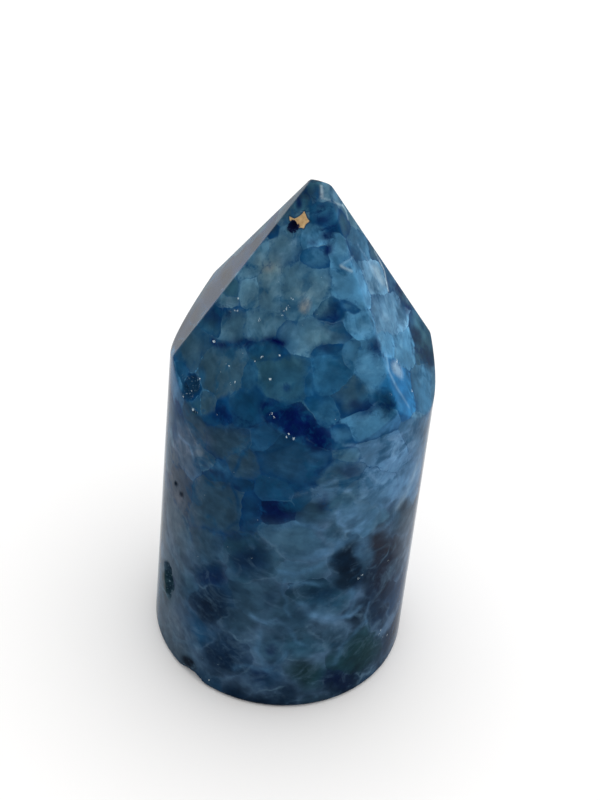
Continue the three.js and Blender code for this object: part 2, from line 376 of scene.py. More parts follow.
# Pale seams and wisps and dark cracks, each along a path of the photograph's pixels and as
# wide to either side as it says, in millimetres
Spot = namedtuple("Spot", "x y")
Streak = namedtuple("Streak", "tone wide path strength", defaults=(0.5,))
FACET_STREAKS = [
    Streak(tone="ice", wide=0.16, strength=0.8, path=[
        Spot(x=353.6, y=256.4), Spot(x=347, y=261), Spot(x=341, y=266)]),
    Streak(tone="white", wide=0.18, strength=0.7, path=[
        Spot(x=341, y=266.4), Spot(x=346, y=269), Spot(x=351.4, y=271.4)]),
    Streak(tone="ice", wide=0.25, strength=0.6, path=[
        Spot(x=358, y=245), Spot(x=367, y=259), Spot(x=378, y=281)]),
    Streak(tone="white", wide=0.22, strength=0.75, path=[
        Spot(x=375, y=252), Spot(x=384, y=270), Spot(x=388, y=290)]),
    Streak(tone="white", wide=0.18, strength=0.55, path=[
        Spot(x=343, y=206), Spot(x=346.5, y=211), Spot(x=348, y=219)]),
    Streak(tone="white", wide=0.16, path=[
        Spot(x=321.5, y=186), Spot(x=322, y=198), Spot(x=334, y=202), Spot(x=343, y=206)]),
    Streak(tone="smoke", wide=1.0, strength=0.7, path=[
        Spot(x=276, y=224), Spot(x=258, y=238), Spot(x=238, y=255), Spot(x=219, y=272),
        Spot(x=206, y=289), Spot(x=193, y=309), Spot(x=182, y=328), Spot(x=176, y=342)]),
    Streak(tone="pale", wide=0.35, strength=0.6, path=[
        Spot(x=316, y=273), Spot(x=326, y=288), Spot(x=325, y=308), Spot(x=313, y=322)]),
    Streak(tone="ice", wide=0.3, strength=0.6, path=[
        Spot(x=386, y=354), Spot(x=389, y=371), Spot(x=397, y=388), Spot(x=409, y=407)]),
    Streak(tone="ice", wide=0.3, path=[
        Spot(x=344, y=445), Spot(x=366, y=446), Spot(x=392, y=441), Spot(x=412, y=428)]),
    Streak(tone="deep", wide=0.6, strength=0.6, path=[
        Spot(x=174, y=366), Spot(x=179, y=385), Spot(x=189, y=404), Spot(x=206, y=420),
        Spot(x=230, y=427), Spot(x=262, y=427)]),
    Streak(tone="deep", wide=1.3, strength=0.6, path=[
        Spot(x=196, y=330), Spot(x=222, y=348), Spot(x=252, y=345), Spot(x=284, y=347)]),
    Streak(tone="navy", wide=0.45, strength=1.25, path=[
        Spot(x=212, y=340), Spot(x=222, y=345), Spot(x=245, y=343), Spot(x=272, y=340),
        Spot(x=284, y=345)]),
    Streak(tone="deep", wide=0.45, strength=0.75, path=[
        Spot(x=313, y=352), Spot(x=306, y=366), Spot(x=308, y=382), Spot(x=318, y=394),
        Spot(x=332, y=398)]),
    Streak(tone="deep", wide=0.4, strength=0.7, path=[
        Spot(x=262, y=398), Spot(x=276, y=404), Spot(x=290, y=404), Spot(x=304, y=395)]),
]
SIDE_STREAKS = [
    Streak(tone="ice", wide=0.4, path=[
        Spot(x=292, y=497), Spot(x=307, y=491), Spot(x=324, y=485), Spot(x=336, y=479)]),
    Streak(tone="ice", wide=0.35, strength=0.55, path=[
        Spot(x=311, y=489), Spot(x=336, y=489), Spot(x=350, y=491)]),
    Streak(tone="ice", wide=0.35, strength=0.75, path=[
        Spot(x=338, y=512), Spot(x=340, y=523), Spot(x=347, y=530), Spot(x=362, y=530)]),
    Streak(tone="lilac", wide=0.4, strength=0.55, path=[
        Spot(x=278, y=529), Spot(x=295, y=523), Spot(x=315, y=526), Spot(x=324, y=531)]),
    Streak(tone="lilac", wide=0.9, strength=0.6, path=[
        Spot(x=307, y=558), Spot(x=318, y=556), Spot(x=336, y=546), Spot(x=353, y=537),
        Spot(x=367, y=531)]),
    Streak(tone="mist", wide=0.8, strength=0.7, path=[
        Spot(x=275, y=556), Spot(x=278, y=572), Spot(x=271, y=584), Spot(x=257, y=588),
        Spot(x=240, y=584)]),
    Streak(tone="lilac", wide=0.5, strength=0.55, path=[
        Spot(x=280, y=572), Spot(x=295, y=575), Spot(x=312, y=569), Spot(x=330, y=560)]),
    Streak(tone="lilac", wide=0.3, strength=0.4, path=[
        Spot(x=285, y=579), Spot(x=282, y=590), Spot(x=287, y=601), Spot(x=285, y=609),
        Spot(x=290, y=617)]),
    Streak(tone="lilac", wide=0.4, strength=0.6, path=[
        Spot(x=289, y=587), Spot(x=304, y=582), Spot(x=320, y=584)]),
    Streak(tone="ice", wide=0.5, strength=0.6, path=[
        Spot(x=301, y=604), Spot(x=315, y=616), Spot(x=333, y=620), Spot(x=350, y=616),
        Spot(x=359, y=607)]),
    Streak(tone="lilac", wide=0.5, path=[
        Spot(x=350, y=590), Spot(x=353, y=604), Spot(x=346, y=616)]),
    Streak(tone="ice", wide=0.4, path=[
        Spot(x=251, y=616), Spot(x=266, y=623), Spot(x=278, y=621), Spot(x=289, y=628)]),
    Streak(tone="ice", wide=0.22, path=[
        Spot(x=369, y=603), Spot(x=365, y=617), Spot(x=369, y=631)]),
    Streak(tone="lilac", wide=0.32, path=[
        Spot(x=289, y=630), Spot(x=296, y=640), Spot(x=304, y=646)]),
    Streak(tone="lilac", wide=0.5, path=[
        Spot(x=365, y=622), Spot(x=353, y=634), Spot(x=341, y=648), Spot(x=334, y=663)]),
    Streak(tone="lilac", wide=0.45, path=[
        Spot(x=234, y=668), Spot(x=248, y=665), Spot(x=266, y=671), Spot(x=280, y=662),
        Spot(x=286, y=652)]),
    Streak(tone="lilac", wide=0.5, strength=0.45, path=[
        Spot(x=260, y=633), Spot(x=257, y=650), Spot(x=266, y=668)]),
    Streak(tone="ice", wide=0.3, strength=0.45, path=[
        Spot(x=179, y=436), Spot(x=190, y=446), Spot(x=194, y=460)]),
    Streak(tone="ice", wide=0.5, path=[
        Spot(x=398, y=497), Spot(x=396, y=510), Spot(x=389, y=524), Spot(x=374, y=533)]),
    Streak(tone="white", wide=1.0, strength=0.4, path=[
        Spot(x=416, y=468), Spot(x=410, y=485), Spot(x=399, y=505)]),
    Streak(tone="navy", wide=0.5, strength=0.6, path=[
        Spot(x=203, y=463), Spot(x=211, y=471), Spot(x=222, y=473), Spot(x=226, y=484),
        Spot(x=238, y=488)]),
    Streak(tone="deep", wide=0.3, strength=1.1, path=[
        Spot(x=222, y=489), Spot(x=231, y=478), Spot(x=237, y=466), Spot(x=244, y=452),
        Spot(x=252, y=444)]),
    Streak(tone="deep", wide=0.3, strength=1.1, path=[
        Spot(x=252, y=450), Spot(x=265, y=453), Spot(x=284, y=447), Spot(x=302, y=438)]),
    Streak(tone="deep", wide=0.3, strength=1.0, path=[
        Spot(x=232, y=486), Spot(x=238, y=500), Spot(x=239, y=520), Spot(x=228, y=528)]),
]
STREAKS = FACET_STREAKS + SIDE_STREAKS

# Painted highlights: bright specks where tiny fractures catch the light, in the photograph's pixels
Speck = namedtuple("Speck", "x y size", defaults=(0.7,))
SPECKS = [
    Speck(x=214, y=341, size=1.1), Speck(x=238, y=299), Speck(x=237.5, y=310), Speck(x=259, y=321),
    Speck(x=291, y=298.5, size=1.1), Speck(x=293, y=300, size=0.5), Speck(x=289, y=306, size=0.6),
    Speck(x=286.5, y=308.5, size=0.8), Speck(x=284, y=312, size=0.5),
    Speck(x=282.5, y=315, size=0.8), Speck(x=260, y=319, size=0.9), Speck(x=231, y=311, size=0.5),
    Speck(x=235, y=311, size=0.6), Speck(x=270, y=379, size=1.0), Speck(x=271, y=414, size=1.2),
    Speck(x=274, y=417), Speck(x=289, y=434), Speck(x=286, y=437), Speck(x=294, y=439),
    Speck(x=193, y=410, size=1.3), Speck(x=397, y=361, size=1.3), Speck(x=400, y=363),
    Speck(x=391, y=394), Speck(x=412, y=391), Speck(x=388, y=561), Speck(x=359, y=578, size=1.3),
    Speck(x=362, y=575), Speck(x=226, y=363), Speck(x=229, y=366, size=0.5),
    Speck(x=231, y=383, size=0.9), Speck(x=235, y=382, size=0.5), Speck(x=279, y=355),
    Speck(x=262, y=357, size=0.9), Speck(x=255, y=361, size=0.5), Speck(x=217, y=414),
    Speck(x=209, y=680), Speck(x=222, y=289), Speck(x=190, y=381, size=1.2), Speck(x=187, y=386),
    Speck(x=194, y=385, size=1.0), Speck(x=381, y=630), Speck(x=379, y=634), Speck(x=383, y=637),
    Speck(x=387, y=635), Speck(x=197, y=389), Speck(x=191, y=391, size=1.1), Speck(x=186, y=393),
    Speck(x=199, y=382), Speck(x=197, y=377.5, size=0.9), Speck(x=200, y=379, size=0.7),
    Speck(x=198, y=385.5, size=1.2), Speck(x=183, y=397, size=0.7), Speck(x=193, y=396, size=0.8),
    Speck(x=195, y=411.5, size=1.1), Speck(x=196.5, y=413, size=0.7),
]
SPECK_RADIUS = 0.14

# Where dye has crept into the stone in feathers: a patch is a stain without a tone
Patch = namedtuple("Patch", "x y wide high strength turn", defaults=(1.0, 0))
FEATHERS = [
    Patch(x=322, y=210, wide=17, high=13, turn=15),
    Patch(x=328, y=238, wide=10, high=16, turn=10),
    Patch(x=312, y=192, wide=10, high=8, strength=0.8),
    Patch(x=332, y=314, wide=17, high=10, turn=-15),
    Patch(x=222, y=312, wide=20, high=10, strength=0.8, turn=15),
    Patch(x=252, y=345, wide=34, high=6, strength=0.9),
    Patch(x=374, y=352, wide=10, high=12, strength=0.7),
    Patch(x=381, y=403, wide=16, high=12, turn=-20),
    Patch(x=290, y=422, wide=32, high=15, strength=0.8, turn=25),
    Patch(x=238, y=418, wide=26, high=9, strength=0.7, turn=10),
    Patch(x=399, y=296, wide=7, high=20, strength=0.8, turn=-25),
    Patch(x=421, y=350, wide=8, high=22, strength=0.8, turn=-25),
]

# The crumbly ground around the pocket at the left shoulder
CRUMBLY = [
    Patch(x=190, y=382, wide=9, high=9, strength=0.8, turn=-15),
    Patch(x=186, y=394, wide=7, high=6, strength=0.8),
]

# The dark hole beside the bare chip
HOLE = Patch(x=292.5, y=226, wide=8.5, high=7, turn=-10)

# The outline of the bare tan chip near the tip, in the photograph's pixels
BARE_CHIP = [
    Spot(x=289, y=216), Spot(x=294, y=218.5), Spot(x=299, y=215.5), Spot(x=304.5, y=211),
    Spot(x=306, y=217.5), Spot(x=309.5, y=221), Spot(x=305.5, y=225), Spot(x=304, y=228.5),
    Spot(x=300, y=227.5), Spot(x=296, y=229), Spot(x=294, y=224), Spot(x=290, y=221),
]


def facing(bearing, slope):
    """The direction that a plane faces when it slopes down towards a bearing."""
    b, s = math.radians(bearing), math.radians(slope)
    return np.array([math.sin(b) * math.sin(s), -math.cos(b) * math.sin(s), math.cos(s)])


def unit(vectors):
    return vectors / np.linalg.norm(vectors, axis=-1, keepdims=True)


def smooth(value, low, high):
    """0 at low and 1 at high, with a soft start and end."""
    t = np.clip((value - low) / (high - low), 0, 1)
    return t * t * (3 - 2 * t)


HASH_PRIMES = np.array([73856093, 19349663, 83492791])
HASH_MIX = 1274126177
SEED_SHIFT = 17.31  # how far apart the noises of two seeds lie, in wavelengths


def lattice(corner):
    """A fixed random number from -1 to 1 for each corner of a unit lattice."""
    mixed = corner @ HASH_PRIMES
    mixed = ((mixed ^ (mixed >> 13)) * HASH_MIX) & 0xFFFFFFFF
    mixed = (mixed ^ (mixed >> 15)) & 0xFFFF
    return mixed / 32767.5 - 1


def noise(points, wavelength, seed):
    """Smooth noise from -1 to 1 that changes over about one wavelength."""
    place = points / wavelength + seed * SEED_SHIFT
    corner = np.floor(place).astype(np.int64)
    part = place - corner
    part = part * part * (3 - 2 * part)
    total = np.zeros(len(points))
    for step in np.ndindex(2, 2, 2):
        weight = np.prod(np.where(step, part, 1 - part), axis=1)
        total += weight * lattice(corner + np.array(step))
    return total


def wander(points, wavelength, seed):
    """Noise in each of the three directions."""
    return np.stack([noise(points, wavelength, seed + k) for k in range(3)], 1)


def spread_in(outwards):
    """The directions across and up a surface that faces outwards."""
    across = unit(np.cross([0, 0, 1], outwards))
    return across, np.cross(outwards, across)


# The stone's shape

FACET_NORMALS = np.array([facing(f.bearing, f.slope) for f in FACETS])
FACET_OFFSETS = FACET_NORMALS @ APEX


def side_crossings(origin, rays):
    """How far along each ray it enters and leaves the tapered side."""
    radius = BASE_RADIUS - TAPER * origin[2]
    a = rays[:, 0] ** 2 + rays[:, 1] ** 2 - (TAPER * rays[:, 2]) ** 2
    b = origin[0] * rays[:, 0] + origin[1] * rays[:, 1] + radius * TAPER * rays[:, 2]
    c = origin[0] ** 2 + origin[1] ** 2 - radius ** 2
    inside = b * b - a * c
    root = np.sqrt(np.maximum(inside, 0))
    misses = inside <= 0
    return np.where(misses, np.inf, (-b - root) / a), np.where(misses, -np.inf, (-b + root) / a)


def shoulder_heights(bearings):
    """The height at which the side meets the facets, for each bearing."""
    out = np.stack([np.sin(bearings), -np.cos(bearings)], 1) @ FACET_NORMALS[:, :2].T
    heights = (FACET_OFFSETS - out * BASE_RADIUS) / (FACET_NORMALS[:, 2] - out * TAPER)
    return heights.min(axis=1)


def side_points(bearings, heights):
    radius = BASE_RADIUS - TAPER * heights
    return np.stack([radius * np.sin(bearings), -radius * np.cos(bearings), heights], 1)


def ridge_bearings():
    """Where the ridges between neighbouring facets end at the side."""
    along = unit(np.cross(FACET_NORMALS, np.roll(FACET_NORMALS, -1, axis=0)))
    along *= -np.sign(along[:, 2:])
    ends = APEX + along * side_crossings(APEX, along)[1][:, None]
    return np.arctan2(ends[:, 0], -ends[:, 1])


def columns():
    """Bearings of the mesh's columns and their ranks: a low rank runs on to the tip."""
    ridges = ridge_bearings()
    beside = np.array([side * row / BASE_RADIUS for row in EDGE_ROWS for side in (-1, 1)])
    count = TIP_SHARE * round(2 * math.pi * BASE_RADIUS / GRID / TIP_SHARE)
    even = np.linspace(-math.pi, math.pi, count, endpoint=False)
    ranks = [next(r for r in range(4) if i % (TIP_SHARE >> r) == 0) for i in range(count)]
    gap = np.abs(np.angle(np.exp(1j * (even[:, None] - ridges)))).min(axis=1)
    clear = gap > (EDGE_ROWS[-1] + GRID / 2) / BASE_RADIUS
    near = (ridges[:, None] + beside).ravel()
    bearings = np.concatenate([even[clear], ridges, near])
    ranks = np.concatenate([np.array(ranks)[clear], np.zeros(len(ridges)), np.full(len(near), 1)])
    bearings = np.angle(np.exp(1j * bearings))
    order = np.argsort(bearings)
    return bearings[order], ranks[order].astype(int)


def rings():
    """Closed rings of points from the foot's middle to the tip: (column numbers, points).
    Near the middle and the tip a ring keeps only the columns that it has room for."""
    bearings, ranks = columns()
    everything = np.arange(len(bearings))
    sines = np.stack([np.sin(bearings), -np.cos(bearings)], 1)
    rows = []
    foot = BASE_RADIUS - FOOT_CHAMFER_WIDTH
    for radius in np.arange(BASE_GRID, foot - BASE_GRID / 2, BASE_GRID):
        rank = int(np.clip(math.log2(radius / BASE_RADIUS * TIP_SHARE) + 0.5, 0, 2))
        keep = everything[ranks <= rank]
        flat = np.zeros((len(keep), 3))
        flat[:, :2] = sines[keep] * radius
        rows.append((keep, flat))
    for inset in (FOOT_CHAMFER_WIDTH + FOOT_EDGE_ROW, FOOT_CHAMFER_WIDTH,
                  FOOT_CHAMFER_WIDTH * 2 / 3, FOOT_CHAMFER_WIDTH / 3, 0):
        rise = FOOT_CHAMFER_HEIGHT * max(0.0, 1 - inset / FOOT_CHAMFER_WIDTH)
        points = side_points(bearings, np.full(len(bearings), rise))
        points[:, :2] -= sines * inset
        rows.append((everything, points))
    top = shoulder_heights(bearings)
    count = int((top.min() - FOOT_CHAMFER_HEIGHT) / GRID)
    for share in np.arange(1, count) / count:
        height = FOOT_CHAMFER_HEIGHT + share * (top - EDGE_ROWS[-1] - FOOT_CHAMFER_HEIGHT)
        rows.append((everything, side_points(bearings, height)))
    for below in (*EDGE_ROWS[::-1], 0):
        rows.append((everything, side_points(bearings, top - below)))
    shoulder = side_points(bearings, top)
    slant = np.linalg.norm(APEX - shoulder, axis=1)[:, None]
    for above in EDGE_ROWS:
        rows.append((everything, shoulder + (APEX - shoulder) / slant * above))
    count = int(slant.mean() / GRID)
    for share in np.arange(1, count) / count:
        rank = int(np.clip(math.log2((1 - share) * TIP_SHARE) + 0.85, 0, 3))
        keep = everything[ranks <= rank]
        done = (share * (slant - EDGE_ROWS[-1]) + EDGE_ROWS[-1]) / slant
        rows.append((keep, (shoulder + (APEX - shoulder) * done)[keep]))
    return bearings, rows


def stitch(lower, upper, bearings):
    """Triangles between two closed rings, each a pair of column numbers and first point."""
    faces = []
    low_columns, low_first = lower
    high_columns, high_first = upper
    low, high = 0, 0
    low_count, high_count = len(low_columns), len(high_columns)

    def bearing(ring, index):
        turns, place = divmod(index, len(ring))
        return bearings[ring[place]] + turns * 2 * math.pi

    while low < low_count or high < high_count:
        a = low_first + low % low_count
        b = high_first + high % high_count
        next_low = bearing(low_columns, low + 1) if low < low_count else math.inf
        next_high = bearing(high_columns, high + 1) if high < high_count else math.inf
        if next_low <= next_high:
            faces.append((a, low_first + (low + 1) % low_count, b))
            low += 1
        else:
            faces.append((a, high_first + (high + 1) % high_count, b))
            high += 1
    return faces


def wall_distances(points):
    """Distance above each wall of the stone, and the way each wall faces."""
    radius = np.hypot(points[:, 0], points[:, 1])
    out = points[:, :2] / np.maximum(radius, 1e-6)[:, None]
    steep = math.hypot(1, TAPER)
    chamfer = np.array([FOOT_CHAMFER_HEIGHT, -FOOT_CHAMFER_WIDTH])
    chamfer /= np.linalg.norm(chamfer)
    walls = [(radius - BASE_RADIUS + TAPER * points[:, 2]) / steep, -points[:, 2],
             (radius - BASE_RADIUS + FOOT_CHAMFER_WIDTH) * chamfer[0] + points[:, 2] * chamfer[1]]
    level = np.ones(len(points))
    faces = [np.column_stack([out, TAPER * level]) / steep, np.column_stack([0 * out, -level]),
             np.column_stack([out * chamfer[0], chamfer[1] * level])]
    flats = list(zip(FACET_NORMALS, FACET_OFFSETS))
    for chip in TIP_CHIPS:
        normal = facing(chip.bearing, chip.slope)
        flats.append((normal, normal @ np.array([APEX[0], APEX[1], chip.height])))
    for normal, offset in flats:
        walls.append(points @ normal - offset)
        faces.append(np.broadcast_to(normal, points.shape))
    return np.stack(walls, 1), np.stack(faces, 1)


def polish(points):
    """Rounds the edges between walls. Gives the points and the way the surface faces there."""
    points = points.copy()
    for _ in range(POLISH_ROUNDS):
        walls, faces = wall_distances(points)
        highest = walls.max(axis=1)
        share = np.exp((walls - highest[:, None]) / EDGE_SOFTNESS)
        total = share.sum(axis=1)
        above = highest + EDGE_SOFTNESS * np.log(total)
        normals = unit(np.einsum("ij,ijk->ik", share, faces))
        points -= normals * above[:, None]
    return points, normals


def pit_frames():
    """Each pit's centre on the surface, its across, upwards and outwards directions, and sizes."""
    frames = []
    for pit in FACET_PITS + SIDE_PITS:
        if isinstance(pit, FacetPit):
            outwards = facing(*FACETS[pit.facet])
        else:
            outwards = facing(pit.bearing, 90 - pit.tilt)
        across, upwards = spread_in(outwards)
        if isinstance(pit, FacetPit):
            centre = APEX - upwards * (APEX[2] - pit.height) / upwards[2] + across * pit.offset
        else:
            centre = facing(pit.bearing, 90) * (BASE_RADIUS - TAPER * pit.height)
            centre[2] = pit.height
        frames.append((pit, centre, across, upwards, outwards))
    return frames


def sink_pits(points):
    """Lowers the points into the pits. Gives the points and how deep each lies in a pit."""
    depth = np.zeros((len(points), len(FACET_PITS) + len(SIDE_PITS)))
    for k, (pit, centre, across, upwards, outwards) in enumerate(pit_frames()):
        near = np.linalg.norm(points - centre, axis=1) < max(pit.width, pit.length)
        local = points[near] - centre
        turn = math.radians(pit.turn)
        u, v, h = local @ across, local @ upwards, local @ outwards
        x = (u * math.cos(turn) + v * math.sin(turn)) / (pit.width / 2 / PIT_SUNK)
        y = (-u * math.sin(turn) + v * math.cos(turn)) / (pit.length / 2 / PIT_SUNK)
        lump = 1 + PIT_LUMPS * np.sin(2.7 * x + 1.9 * y + pit.depth * 9) * np.cos(3.3 * y - pit.width)
        lump += PIT_RAGGED * noise(points[near], 0.5, seed=11)
        inside = 1 - (x * x + y * y) / lump ** 2
        floor = pit.depth - 2 * pit.depth * np.sqrt(np.maximum(inside, 0))
        rough = 0.5 * noise(points[near], 0.45, seed=12) + 0.35 * noise(points[near], 0.2, seed=13)
        floor += rough * pit.depth * PIT_GRAIN * smooth(inside, 0.25, 0.5)
        sink = np.where(inside > 0, np.maximum(h - floor, 0), 0)
        points[near] -= outwards * sink[:, None]
        depth[near, k] = sink
    return points, depth


# Placing by the photograph

def camera_frame():
    """The camera's place, and its right, up and forward directions."""
    rise, roll = math.radians(CAMERA_RISE), math.radians(CAMERA_ROLL)
    back = np.array([0.0, -math.cos(rise), math.sin(rise)])
    level = np.array([1.0, 0.0, 0.0])
    right = math.cos(roll) * level + math.sin(roll) * np.cross(level, -back)
    return CAMERA_AIM + back * CAMERA_REACH, right, np.cross(back, right), -back


def pixel_rays(x, y):
    """Directions from the camera through pixels of the photograph."""
    _, right, up, ahead = camera_frame()
    across = (np.asarray(x, float) - PHOTO_WIDTH / 2) / FOCAL_PX
    down = (np.asarray(y, float) - PHOTO_HEIGHT / 2) / FOCAL_PX
    return unit(ahead + across[..., None] * right - down[..., None] * up)


def stone_hits(rays):
    """Where rays from the camera meet the stone, and which way it faces there."""
    origin = camera_frame()[0]
    enter, _ = side_crossings(origin, rays)
    met = origin + rays * np.where(np.isfinite(enter), enter, 0)[:, None]
    normals = unit(np.column_stack([met[:, :2], np.full(len(rays), BASE_RADIUS * TAPER)]))
    for normal, offset in zip(FACET_NORMALS, FACET_OFFSETS):
        along = rays @ normal
        reach = (offset - origin @ normal) / np.where(along == 0, -1e-9, along)
        later = (along < 0) & (reach > enter)
        enter = np.where(later, reach, enter)
        normals[later] = normal
    return origin + rays * enter[:, None], normals


LONGEST = 2.4  # a mark on a facet seen edge on is at most this many times as long as wide
DEEPEST = 3.0  # how far a mark reaches into the stone at most


def photo_frames(marks):
    """The middle of each mark on the stone, and the matrix that turns its ellipse into a unit ball."""
    origin = camera_frame()[0]
    middles, normals = stone_hits(pixel_rays([m.x for m in marks], [m.y for m in marks]))
    matrices, sizes = [], []
    for mark, middle, normal in zip(marks, middles, normals):
        turn = math.radians(mark.turn)
        arms = []
        for dx, dy in ((mark.wide * math.cos(turn), mark.wide * math.sin(turn)),
                       (-mark.high * math.sin(turn), mark.high * math.cos(turn))):
            ray = pixel_rays(mark.x + dx, mark.y + dy)
            arms.append(origin + ray * ((middle - origin) @ normal) / (ray @ normal) - middle)
        size = math.sqrt(np.linalg.norm(arms[0]) * np.linalg.norm(arms[1]))
        axes, spans, turned = np.linalg.svd(np.column_stack(arms), full_matrices=False)
        if spans[0] > LONGEST * spans[1]:
            middle_span = math.sqrt(spans[0] * spans[1])
            spans = middle_span * np.array([math.sqrt(LONGEST), 1 / math.sqrt(LONGEST)])
        flat = axes @ np.diag(spans) @ turned
        matrices.append(np.linalg.inv(np.column_stack([flat, normal * min(size, DEEPEST)])))
        sizes.append(size)
    return middles, np.array(matrices), np.array(sizes)


# The cells

HIDDEN_SIZES = (4.2, 3.6, 3.1, 2.7, 2.3, 2.0, 1.7, 1.4, 1.15)
HIDDEN_TRIES = 900
CELL_SPACING = 0.82
SEEN_SPACING = CELL_SPACING * 0.75
CROWDING = 1.5  # how far a hidden cell keeps clear of a seen one, in the seen cell's sizes
CELL_LENGTHS = (1.0, 1.3)
FOOT_TOP, FACET_FOOT = 20, 52  # heights that part the foot, the side and the facets


def hidden_cells(points, normals, middles, matrices, sizes, random):
    """Fills the rest of the surface with cells, the largest first."""
    covered = np.zeros(len(points), bool)
    for middle, matrix in zip(middles, matrices):
        covered |= np.linalg.norm((points - middle) @ matrix.T, axis=1) < CROWDING
    places, reaches, frames = [], [], []
    open_points = np.flatnonzero(~covered)
    for size in HIDDEN_SIZES:
        for index in random.choice(open_points, HIDDEN_TRIES, replace=False):
            point = points[index]
            if places:
                gaps = np.linalg.norm(np.array(places) - point, axis=1)
                if (gaps < CELL_SPACING * (size + np.array(reaches))).any():
                    continue
            gaps = np.linalg.norm(middles - point, axis=1)
            if (gaps < SEEN_SPACING * (size + sizes)).any():
                continue
            normal = normals[index]
            across = unit(np.cross(normal, random.normal(size=3)))
            long = size * random.uniform(*CELL_LENGTHS)
            wide = size * size / long
            arms = np.column_stack([across * long, np.cross(normal, across) * wide, normal * size])
            places.append(point)
            reaches.append(size)
            frames.append(np.linalg.inv(arms))
    return np.array(places), np.array(frames), np.array(reaches)


def hidden_tones(places, random):
    """Tones that drift over the stone, so that dark and cloudy cells gather."""
    drift = 0.5 + 0.55 * noise(places, 15, seed=3) + 0.25 * noise(places, 6, seed=4)
    drift = np.clip(drift + random.normal(0, 0.17, len(places)), 0, 0.999)
    tones = []
    for place, value in zip(places, drift):
        names = HIDDEN_SIDE_TONES
        if place[2] > FACET_FOOT:
            names = HIDDEN_FACET_TONES
        if place[2] < FOOT_TOP:
            names = HIDDEN_FOOT_TONES
        if place @ FACET_NORMALS[0] > FACET_OFFSETS[0] - 0.3:
            names = HIDDEN_LEFT_TONES
        tones.append(TONES[names[int(value * len(names))]])
    return np.array(tones)


def colour_map(neighbours):
    """Gives each cell a layer, so that no two neighbours share one."""
    layers = {}
    left = set(neighbours)
    while left:
        cell = max(left, key=lambda c: (len({layers[n] for n in neighbours[c] if n in layers}),
                                        len(neighbours[c]), -c))
        taken = {layers[n] for n in neighbours[cell] if n in layers}
        layers[cell] = next(k for k in range(len(taken) + 1) if k not in taken)
        left.remove(cell)
    return np.array([layers[c] for c in sorted(layers)])


NEIGHBOUR_REACH = 0.9  # cells this close to a point are neighbours there
RIVALS = 6


def cell_layers(warped, middles, matrices, sizes):
    """The cells nearest each point, and for each layer which of its cells is nearest there."""
    spread = np.empty((len(warped), len(middles)), np.float32)
    for k, (middle, matrix) in enumerate(zip(middles, matrices)):
        spread[:, k] = np.linalg.norm((warped - middle) @ matrix.T, axis=1)
    rows = np.arange(len(warped))[:, None]
    closest = np.argpartition(spread, RIVALS, axis=1)[:, :RIVALS]
    closest = closest[rows, np.argsort(spread[rows, closest], axis=1)]
    spreads = spread[rows, closest]

    neighbours = {c: set() for c in range(len(middles))}
    for b in range(1, RIVALS):
        gap = (spreads[:, b] - spreads[:, 0]) / (1 / sizes[closest[:, b]] + 1 / sizes[closest[:, 0]])
        near = gap < NEIGHBOUR_REACH
        for a in range(b):
            for one, two in np.unique(closest[near][:, [a, b]], axis=0):
                neighbours[int(one)].add(int(two))
                neighbours[int(two)].add(int(one))
    layer_of = colour_map(neighbours)
    layers = []
    for k in range(layer_of.max() + 1):
        members = np.flatnonzero(layer_of == k)
        nearest = members[np.argmin(spread[:, members], axis=1)]
        own = spread[rows[:, 0], nearest]
        gaps = (spreads - own[:, None]) / (1 / sizes[closest] + 1 / sizes[nearest][:, None])
        gaps[closest == nearest[:, None]] = np.inf
        layers.append((nearest, gaps))
    return closest, layers


def pair_value(one, two, seed):
    """A fixed random number from 0 to 1 for each pair of cells, in either order."""
    pair = np.stack([np.minimum(one, two), np.maximum(one, two), np.full_like(one, seed)], -1)
    return lattice(pair) / 2 + 0.5


def stain_weights(points, marks):
    """How strongly each stain colours each point."""
    middles, matrices, sizes = photo_frames(marks)
    drift = 0.8 * wander(points, 2.4, seed=30) + 0.5 * wander(points, 1.0, seed=33)
    for mark, middle, matrix, size in zip(marks, middles, matrices, sizes):
        place = points + drift * min(1, size / 2.5)
        spread = np.linalg.norm((place - middle) @ matrix.T, axis=1)
        yield mark, mark.strength * (1 - smooth(spread, 0.3, 1.45))


def strongest(points, marks):
    """How strongly the strongest of the marks covers each point."""
    return np.max([weight for _, weight in stain_weights(points, marks)], axis=0)


STREAK_STEPS = 12  # places along each leg of a streak
FINE_STREAK = 0.3  # the mesh is finer along a streak no wider than this


def streak_places(streak):
    legs = len(streak.path) - 1
    along = np.linspace(0, legs, legs * STREAK_STEPS + 1)
    x = np.interp(along, range(legs + 1), [s.x for s in streak.path])
    y = np.interp(along, range(legs + 1), [s.y for s in streak.path])
    return stone_hits(pixel_rays(x, y))[0]


def streak_weights(points, streaks):
    """How strongly each streak colours each point."""
    drift = 0.3 * wander(points, 1.1, seed=50)
    flow = 0.75 + 0.45 * noise(points, 2.1, seed=53)
    for streak in streaks:
        places = streak_places(streak)
        reach = 3 * streak.wide + 0.8
        near = np.flatnonzero((points > places.min(axis=0) - reach).all(axis=1)
                              & (points < places.max(axis=0) + reach).all(axis=1))
        loose = 1 if streak.wide > FINE_STREAK else 0.3
        walks = (points + loose * drift)[near, None] - places
        gap = np.linalg.norm(walks, axis=2).min(axis=1)
        weight = streak.strength * np.clip(flow[near], 0, 1) * np.exp(-(gap / streak.wide) ** 2)
        yield streak, near, weight


